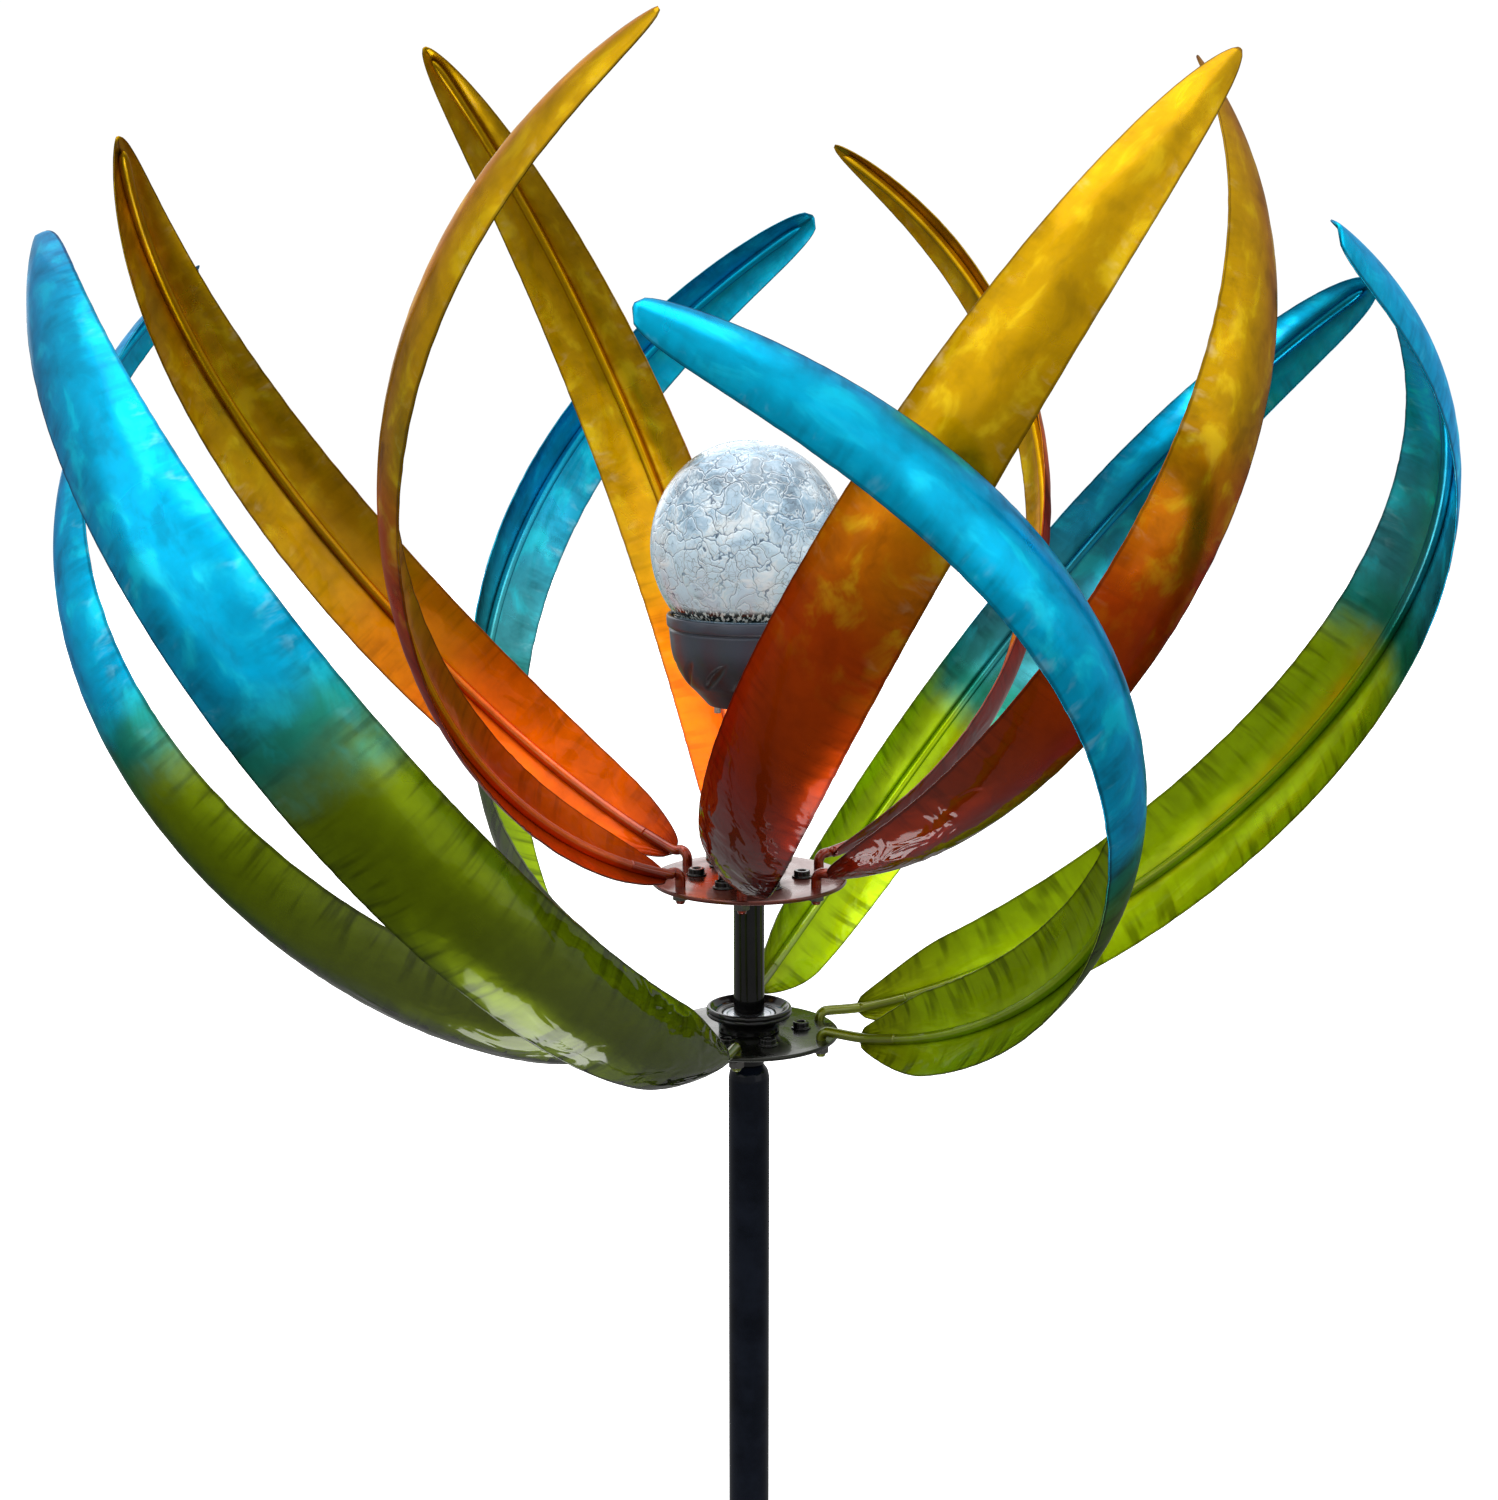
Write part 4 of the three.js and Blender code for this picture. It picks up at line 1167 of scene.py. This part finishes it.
def pole_parts():
    """Outlines of the four pole sections. All but the top one end in a neck that the next stands over."""
    radius, wall = 0.00875, 0.0012
    inner = radius - wall
    neck = inner - 0.0003
    gap, swage = 0.0003, 0.030
    joints = (0.260, 0.600, 0.940)
    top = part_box("top_pole")[1].z
    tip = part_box("bottom_pole")[0].z
    parts = {
        "bottom_pole": [
            (0, tip), (0.0016, tip + 0.004), (radius, tip + 0.040), (radius, joints[0] - gap),
            (neck, joints[0] - gap), (neck, joints[0] + swage), (neck - wall, joints[0] + swage),
            (neck - wall, tip + 0.040), (0, tip + 0.034),
        ],
        "top_pole": [
            (inner, joints[2]), (radius, joints[2]), (radius, top - 0.0060), (radius - 0.0006, top - 0.0028),
            (radius - 0.0026, top), (0.0043, top), (0.0043, top - 0.070), (inner, top - 0.070),
            (inner, joints[2]),
        ],
    }
    for title, low, high in (("lower_pole", *joints[:2]), ("middle_pole", *joints[1:])):
        parts[title] = [
            (inner, low), (radius, low), (radius, high - gap), (neck, high - gap), (neck, high + swage),
            (neck - wall, high + swage), (neck - wall, high - 0.006), (inner, high - 0.012), (inner, low),
        ]
    return parts


def tine_piece(title, direction, material):
    """A square bar bent down to a chisel point: a rounded square carried along its bend.

    The square's corner is a superellipse of power 6, and the bar narrows in one direction at its point.
    """
    low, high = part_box(title)
    bar = high.z
    start = min(abs(low.x), abs(high.x))
    reach = max(abs(low.x), abs(high.x)) - bar / 2
    corner = bar * 0.8
    turn = np.linspace(0, np.pi / 2, 10)
    bend = np.stack([reach - corner + corner * np.sin(turn), bar / 2 - corner + corner * np.cos(turn)], -1)
    level = np.stack([np.linspace(start, bend[0, 0], 12)[:-1], np.full(11, bar / 2)], -1)
    drop = np.stack([np.full(40, reach), np.linspace(bend[-1, 1], low.z, 41)[1:]], -1)
    line = np.concatenate([level, bend, drop])
    path = np.stack([direction * line[:, 0], 0 * line[:, 0], line[:, 1]], -1)
    along = unit(np.gradient(path, axis=0))
    wide = np.cross(along, [0.0, 1.0, 0.0])
    turn = np.linspace(0, 2 * np.pi, 48, endpoint=False)
    square = np.stack([np.cos(turn), np.sin(turn)], -1)
    square = np.sign(square) * np.abs(square) ** (1 / 3) * bar / 2
    narrow = 1 - 0.86 * smooth_step(-path[:, 2], -low.z - 0.025, -low.z)
    rings = path[:, None] + (square[None, :, :1] * narrow[:, None, None]) * wide[:, None]
    rings = rings + square[None, :, 1:] * np.array([0.0, 1.0, 0.0])
    uv = np.zeros((*rings.shape[:2], 2))
    return tube_surface(
        f"{title}_bar", rings, uv, body="root", replaces=[title], slot="pole_paint", material=material
    )


def weld_bead(name, direction, material):
    """A lumpy ring of weld where a tine meets the pole: a torus squared to the bar, with ripples round it."""
    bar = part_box("fork_tine_right")[1].z
    pole_radius = 0.0087
    around, section = 72, 12
    turn = np.linspace(0, 2 * np.pi, around, endpoint=False)[None, :]
    round_it = np.linspace(0, 2 * np.pi, section, endpoint=False)[:, None]
    size = 0.0014 * (1 + 0.14 * np.sin(26 * turn)) + 0 * round_it
    out = bar / 2 + 0.0002 + size * np.cos(round_it)
    y, z = (out * np.sign(wave) * np.abs(wave) ** 0.4 for wave in (np.cos(turn), np.sin(turn)))
    on_pole = np.sqrt(pole_radius**2 - np.clip(np.abs(y), 0, 0.0055) ** 2)
    x = direction * (on_pole + 0.0004 + size * np.sin(round_it))
    points = np.stack([x, y, z + bar / 2], -1)
    return build(
        name, points.reshape(-1, 3), grid_faces(section, around, wrap_rows=True), NO_TRIANGLES,
        np.zeros((section * around, 2)), body="root", slot="pole_paint", material=material,
    )


# ---------------------------------------------------------------- lamp


def cup_skin(dimples):
    """The lamp cup's outline, the dents in it, and how far it stands from the heights written here.

    A dent's depth falls from its centre as a smooth S of its distance, in an oval leaning to one side.
    """
    neck, first_bend, last_bend, wall_top = 0.0737, 0.0833, 0.0958, 0.1046
    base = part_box("lamp_cup")[0].z - neck
    outside = smooth_path([
        (0.0170, neck), (0.0219, 0.0791), (0.0260, first_bend), (0.0297, 0.0896), (0.0318, last_bend),
        (0.0328, wall_top),
    ], 12)
    groove = [(0.0328, 0.1052), (0.0322, 0.1055), (0.0322, 0.1061), (0.0329, 0.1063), (0.0336, 0.1066)]
    rim = [(0.0338, 0.1075), (0.0339, 0.1106), (0.0336, 0.1112), (0.0330, 0.1113), (0.0322, 0.1113)]
    inside = [
        (0.0320, 0.1106), (0.0300, last_bend), (0.0279, 0.0904), (0.0242, 0.0852), (0.0201, 0.0812),
        (0.0162, 0.0770), (0.0160, 0.0764), (0.0160, 0.0740), (0.0163, neck),
    ]
    outline = np.concatenate([outside, groove, rim, inside])
    outline = np.concatenate([outline, outline[:1]]) + [0, base]
    bends = (neck, first_bend, last_bend, wall_top)
    between_skins = (0.0163, 0.0250, 0.0308, 0.0318)

    def dents(turn, height, radius):
        step = 2 * np.pi / dimples
        level = height - base
        sway = (level - 0.0880) / 0.0300
        fold = (turn - sway + step / 2) % step - step / 2
        away = np.sqrt((fold * radius / 0.0034) ** 2 + ((level - 0.0885) / 0.0068) ** 2)
        near_skin = radius > np.interp(level, bends, between_skins)
        return np.where(near_skin, -DIMPLE_DEPTH * smooth_step(1 - away, 0.0, 0.6), 0)

    return outline, dents, base


def globe_outline():
    """The globe's outside and inside: ellipses a little taller than wide, open where they meet the cup.

    At each turn the radius is wide x cos(turn) and the height is the centre's plus tall x sin(turn).
    """
    low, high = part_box("lamp_globe")
    wide, tall, wall = 0.0403, 0.043, 0.0024
    centre = high.z - tall
    turn = np.linspace(-math.asin((centre - low.z) / tall), np.pi / 2, 60)
    outside, inside = (
        np.stack([(wide - set_in) * np.cos(turn), centre + (tall - set_in) * np.sin(turn)], -1)
        for set_in in (0, wall)
    )
    inside[:, 1] = np.maximum(inside[:, 1], low.z)
    outside[-1, 0] = inside[-1, 0] = 0
    return np.concatenate([inside[::-1], outside])


def box_piece(name, low, high, ease, **about):
    """A block with eased edges: a rounded rectangle in plan, carried up an eased outline.

    The plan's half sides shrink by the same amount that the outline is set in at each height.
    """
    low, high = np.array(low), np.array(high)
    middle, half = (low + high) / 2, (high - low) / 2
    turn = np.linspace(0, np.pi / 2, 7)
    corner = np.stack([np.cos(turn), np.sin(turn)], -1)
    signs = [(1, 1), (-1, 1), (-1, -1), (1, -1)]
    arcs = []
    for k, (sx, sy) in enumerate(signs):
        arc = corner if k % 2 == 0 else corner[::-1]
        arcs.append(np.concatenate([arc * [sx, sy], np.tile([[sx, sy]], (len(arc), 1))], 1))
    arcs = np.concatenate(arcs)
    rise = np.linspace(0, np.pi / 2, 5)
    set_in = np.concatenate([ease * (1 - np.sin(rise)), ease * (1 - np.sin(rise[::-1]))])
    height = np.concatenate([low[2] + ease * (1 - np.cos(rise)), high[2] - ease * (1 - np.cos(rise[::-1]))])
    radius = (ease * 1.5 - set_in * 0.8)[:, None]
    flat = (half[:2] - ease * 1.5)[None, None, :] - (set_in * 0.2)[:, None, None]
    plan = arcs[None, :, :2] * radius[..., None] + arcs[None, :, 2:] * flat
    z = np.broadcast_to(height[:, None, None], (*plan.shape[:2], 1))
    rings = np.concatenate([plan + middle[:2], z], -1)
    return tube_surface(name, rings, np.zeros((*rings.shape[:2], 2)), **about)


# ---------------------------------------------------------------- operators


class SPINNER_OT_stage(bpy.types.Operator):
    """Camera, white floor and soft lights."""

    bl_idname = "spinner.stage"
    bl_label = "Stage"
    bl_options = {"REGISTER", "UNDO"}

    def execute(self, context):
        s = settings()
        scene = context.scene
        scene.view_settings.view_transform = "Standard"
        scene.view_settings.look = "None"
        eye_height = hub_top("upper") + s.camera_height
        lens = bpy.data.cameras.new("viewing_camera")
        lens.sensor_fit, lens.sensor_width, lens.lens = "HORIZONTAL", 36, s.camera_lens
        lens.clip_start, lens.clip_end = 0.01, 60
        camera = bpy.data.objects.new("viewing_camera", lens)
        camera.location = (0, -s.camera_distance, eye_height)
        camera.rotation_euler = (math.pi / 2 - s.camera_tilt[0], 0, 0)
        scene.collection.objects.link(camera)
        scene.camera = camera
        self.make_floor()
        self.make_world(scene)
        self.make_lights(scene)
        return {"FINISHED"}

    def make_floor(self):
        """A flat white square that runs out of every view, and that other surfaces don't see."""
        level = CAD_BOX[0].z - 0.0005
        half = 14.0
        corners = np.array([(-half, -half), (half, -half), (half, half), (-half, half)], float)
        points = np.concatenate([corners, np.full((4, 1), level)], 1)
        mesh = bpy.data.meshes.new("studio_floor")
        mesh.from_pydata(points.tolist(), [], [(0, 1, 2, 3)])
        mesh.materials.append(finish("floor"))
        floor = bpy.data.objects.new("studio_floor", mesh)
        bpy.context.scene.collection.objects.link(floor)
        floor.visible_diffuse = False
        floor.visible_glossy = False

    def make_world(self, scene):
        """White all round to the eye. In reflections it is a soft grey room, brighter upwards.

        A small bright patch straight below gives the pale reflections on the undersides.
        """
        world = bpy.data.worlds.new("studio")
        world.use_nodes = True
        tree = world.node_tree
        back = tree.nodes["Background"]
        heading = node(tree, "ShaderNodeTexCoord").outputs["Generated"]
        rise = node(tree, "ShaderNodeSeparateXYZ", Vector=heading).outputs[2]
        room = ramp(tree, maths(tree, "ADD", times(tree, rise, 0.5), 0.5), grey(
            (0.016, 4.5), (0.020, 0.28), (0.34, 0.34), (0.50, 0.62), (0.62, 0.82), (0.82, 1.05), (1.0, 1.2)
        ))
        seen = node(tree, "ShaderNodeLightPath").outputs["Is Camera Ray"]
        tree.links.new(blend_colours(tree, seen, room, (1.05, 1.05, 1.05)), back.inputs["Color"])
        back.inputs["Strength"].default_value = 1.0
        scene.world = world

    def make_lights(self, scene):
        """Large soft boxes: key high left, fill right, one behind for the edges and one overhead."""
        middle = hub_top("upper")
        boxes = (
            ("key_softbox", (-1.8, -1.7, middle + 1.3), 2.8, 17),
            ("fill_softbox", (1.9, -1.3, middle + 0.6), 1.8, 8),
            ("back_softbox", (-0.7, 2.3, middle + 1.1), 2.2, 16),
            ("top_softbox", (0.0, 0.0, middle + 2.3), 2.2, 30),
        )
        for title, at, size, power in boxes:
            light = bpy.data.lights.new(title, "AREA")
            light.shape, light.size, light.energy = "SQUARE", size, power
            lamp = bpy.data.objects.new(title, light)
            aim = np.array([0.0, 0.0, middle - 0.1]) - np.array(at)
            level = math.hypot(aim[0], aim[1])
            lamp.location = at
            lamp.rotation_euler = (math.atan2(level, -aim[2]), 0, math.atan2(-aim[0], aim[1]))
            scene.collection.objects.link(lamp)


class SPINNER_OT_blades(bpy.types.Operator):
    """Twelve leaf blades with their rib wires and stems."""

    bl_idname = "spinner.blades"
    bl_label = "Blades"
    bl_options = {"REGISTER", "UNDO"}

    def execute(self, context):
        s = settings()
        for title, tier in (("upper", s.upper), ("lower", s.lower)):
            for index in range(BLADES):
                about = (tier, title, index, hub_top(title), f"{title}_rotor")
                blade_piece(*about, finish(f"{title}_candy"))
                rib_piece(*about, finish(f"{title}_wire_candy"))
                stem_piece(*about, finish(f"{title}_wire_candy"))
        return {"FINISHED"}


class SPINNER_OT_hubs(bpy.types.Operator):
    """Plates, cups, bearings, screws and nuts of both hubs."""

    bl_idname = "spinner.hubs"
    bl_label = "Hubs"
    bl_options = {"REGISTER", "UNDO"}

    def execute(self, context):
        s = settings()
        for title, tier, plate in (("upper", s.upper, "copper_plate"), ("lower", s.lower, "olive_plate")):
            body, top = f"{title}_rotor", hub_top(title)
            plate_piece(title, body, finish(plate))
            turned(
                f"{title}_cup", cup_outline() + [0, top], body=body, replaces=[f"{title}_bearing_cup"],
                slot="black_paint", material=finish("black_enamel"),
            )
            turned(
                f"{title}_ball_bearing", bearing_outline() + [0, top], body=body,
                replaces=[f"{title}_bearing"], slot="steel", material=finish("steel"),
            )
            for index in range(BLADES):
                azimuth = blade_azimuth(tier, index)
                centre = (s.stem_circle * math.cos(azimuth), s.stem_circle * math.sin(azimuth))
                high = top - 0.0023
                hex_nut(
                    f"{title}_nut_{index + 1}", centre, 0.0026, 0.0036, high - 0.0032, high, body=body,
                    replaces=[f"{title}_stem_nut_{index + 1}"], slot="zinc", material=finish("zinc"),
                )
                between = azimuth + math.pi / 6
                spot = (0.0222 * math.cos(between), 0.0222 * math.sin(between))
                screw_head(f"{title}_screw_{index + 1}", spot, top, body, finish("black_enamel"))
        return {"FINISHED"}


class SPINNER_OT_stand(bpy.types.Operator):
    """Pole sections, fork, welds, shaft and spacers."""

    bl_idname = "spinner.stand"
    bl_label = "Stand"
    bl_options = {"REGISTER", "UNDO"}

    def execute(self, context):
        paint = finish("pole_enamel")
        for title, corners in pole_parts().items():
            turned(
                f"{title}_tube", eased(corners, 0.0009, 5), body="root", replaces=[title],
                slot="pole_paint", material=paint,
            )
        for title, direction in (("fork_tine_right", 1), ("fork_tine_left", -1)):
            tine_piece(title, direction, paint)
            weld_bead(f"{title}_weld", direction, paint)
        self.make_shaft()
        return {"FINISHED"}

    def make_shaft(self):
        """The plain shaft with eased ends, its two spacers and the lock nut."""
        low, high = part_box("rotor_shaft")
        radius = 0.004
        turned(
            "shaft", eased([(0, low.z), (radius, low.z), (radius, high.z), (0, high.z)], 0.0006, 4),
            steps=48, body="root", replaces=["rotor_shaft"], slot="steel", material=finish("steel"),
        )
        for title in ("lower_spacer", "middle_spacer"):
            low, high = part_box(title)
            bore, outer = 0.0043, 0.0065
            corners = [(bore, low.z), (outer, low.z), (outer, high.z), (bore, high.z), (bore, low.z)]
            turned(
                f"{title}_tube", eased(corners, 0.0006, 4), steps=64, body="root", replaces=[title],
                slot="black_paint", material=finish("black_enamel"),
            )
        low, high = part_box("shaft_lock_nut")
        hex_nut(
            "lock_nut", (0, 0), 0.0045, 0.007, low.z, high.z, body="root", replaces=["shaft_lock_nut"],
            slot="zinc", material=finish("zinc"),
        )


class SPINNER_OT_lamp(bpy.types.Operator):
    """Lamp cup, crackle globe, solar panel, light dome, board, battery, socket and cover screws."""

    bl_idname = "spinner.lamp"
    bl_label = "Lamp"
    bl_options = {"REGISTER", "UNDO"}

    def execute(self, context):
        s = settings()
        outline, dents, base = cup_skin(s.dimples)
        cup = turned(
            "cup_shell", outline, steps=288, shape=dents, body="lamp", replaces=["lamp_cup"],
            slot="black_plastic", material=finish("cup_plastic"),
        )
        corners = np.empty(len(cup.data.vertices) * 3)
        cup.data.vertices.foreach_get("co", corners)
        x, y, z = corners.reshape(-1, 3).T
        # How deep each point lies in a dimple, which the cup's finish reads as painted shade.
        dimple_shade = dents(np.arctan2(y, x) % (2 * np.pi), z, np.hypot(x, y) + DIMPLE_DEPTH) / -DIMPLE_DEPTH
        mark(cup, "dimple", dimple_shade)
        turned(
            "crackle_globe", globe_outline(), steps=160, body="lamp", replaces=["lamp_globe"],
            slot="glass", material=finish("crackle_glass"),
        )
        self.make_inside()
        self.make_foot(base)
        return {"FINISHED"}

    def make_inside(self):
        """The panel with its light dome, the board under it and the battery across the cup."""
        low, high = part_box("solar_panel")
        radius = high.x
        turned(
            "panel", eased([(0, low.z), (radius, low.z), (radius, high.z), (0, high.z)], 0.0004, 3),
            body="lamp", replaces=["solar_panel"], slot="solar_cell", material=finish("solar_cell"),
        )
        turn = np.linspace(0, np.pi / 2, 12)
        dome = np.stack([0.0034 * np.cos(turn), high.z + 0.0002 + 0.0040 * np.sin(turn)], -1)
        dome[-1, 0] = 0
        turned(
            "light_dome", np.concatenate([[[0, high.z + 0.0002]], dome]), steps=32, body="lamp",
            slot="glass", material=finish("lens"),
        )
        low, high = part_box("light_board")
        box_piece(
            "board", low, high, 0.0003, body="lamp", replaces=["light_board"],
            slot="circuit_board", material=finish("board"),
        )
        low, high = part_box("battery_cell")
        radius = (high.z - low.z) / 2
        middle = (high.z + low.z) / 2
        half = high.x
        profile = eased([
            (0, -half), (radius, -half), (radius, half - 0.0020), (radius * 0.42, half - 0.0019),
            (radius * 0.40, half), (0, half),
        ], 0.0006, 4)
        turn = np.linspace(0, 2 * np.pi, 48, endpoint=False)[None, :]
        rows = profile[1:-1]
        rings = np.stack([
            rows[:, 1:] + 0 * turn, rows[:, :1] * np.cos(turn), middle + rows[:, :1] * np.sin(turn)
        ], -1)
        uv = np.zeros((*rings.shape[:2], 2))
        tube_surface("battery", rings, uv, body="lamp", replaces=["battery_cell"], slot="battery_wrap",
                     material=finish("battery"))

    def make_foot(self, base):
        """The socket and the three small screws of the cover."""
        low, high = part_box("lamp_socket")
        bore = 0.0046
        turned(
            "socket", eased([
                (bore, low.z), (0.0080, low.z), (0.0080, base + 0.0775), (0.0120, base + 0.0777),
                (0.0120, high.z), (bore, high.z), (bore, low.z),
            ], 0.0005, 4), steps=64, body="lamp", replaces=["lamp_socket"], slot="steel",
            material=finish("steel"),
        )
        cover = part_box("lamp_base_cover")[0].z
        for number, turn in enumerate((math.pi, math.pi / 4, -math.pi / 3), 1):
            spot = (0.0130 * math.cos(turn), 0.0130 * math.sin(turn) - 0.0004)
            low, high = cover - 0.0046, cover - 0.0002
            turned(
                f"cover_screw_{number}",
                eased([(0, low), (0.0014, low), (0.0014, high - 0.001), (0.0019, high - 0.0009),
                       (0.0019, high), (0, high)], 0.0003, 3),
                spot, 24, body="lamp", slot="steel", material=finish("steel"),
            )


class SPINNER_PT_panel(bpy.types.Panel):
    """The spinner's settings and its steps."""

    bl_idname = "SPINNER_PT_panel"
    bl_label = "Wind Spinner"
    bl_space_type = "VIEW_3D"
    bl_region_type = "UI"
    bl_category = "Wind Spinner"

    def draw(self, context):
        s = context.scene.wind_spinner
        for step in STEPS:
            self.layout.operator(step.bl_idname)
        for title, group in (("Spinner", s), ("Upper tier", s.upper), ("Lower tier", s.lower)):
            box = self.layout.box()
            box.label(text=title)
            for name in group.__annotations__:
                if name not in ("upper", "lower"):
                    box.prop(group, name)


STEPS = (SPINNER_OT_stage, SPINNER_OT_blades, SPINNER_OT_hubs, SPINNER_OT_stand, SPINNER_OT_lamp)
CLASSES = (UpperTier, LowerTier, SpinnerSettings, *STEPS, SPINNER_PT_panel)


def register():
    for made in CLASSES:
        bpy.utils.register_class(made)
    bpy.types.Scene.wind_spinner = PointerProperty(type=SpinnerSettings)


def unregister():
    del bpy.types.Scene.wind_spinner
    for made in reversed(CLASSES):
        bpy.utils.unregister_class(made)


def main():
    """The CAD pieces that are still shown, the lamp's cover and switch, get the cup's plastic.
    """
    register()
    bpy.ops.spinner.stage()
    bpy.ops.spinner.blades()
    bpy.ops.spinner.hubs()
    bpy.ops.spinner.stand()
    bpy.ops.spinner.lamp()
    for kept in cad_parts.values():
        if not kept.hide_render:
            kept.data.materials.clear()
            kept.data.materials.append(finish("cup_plastic"))


if __name__ == "__main__":
    main()
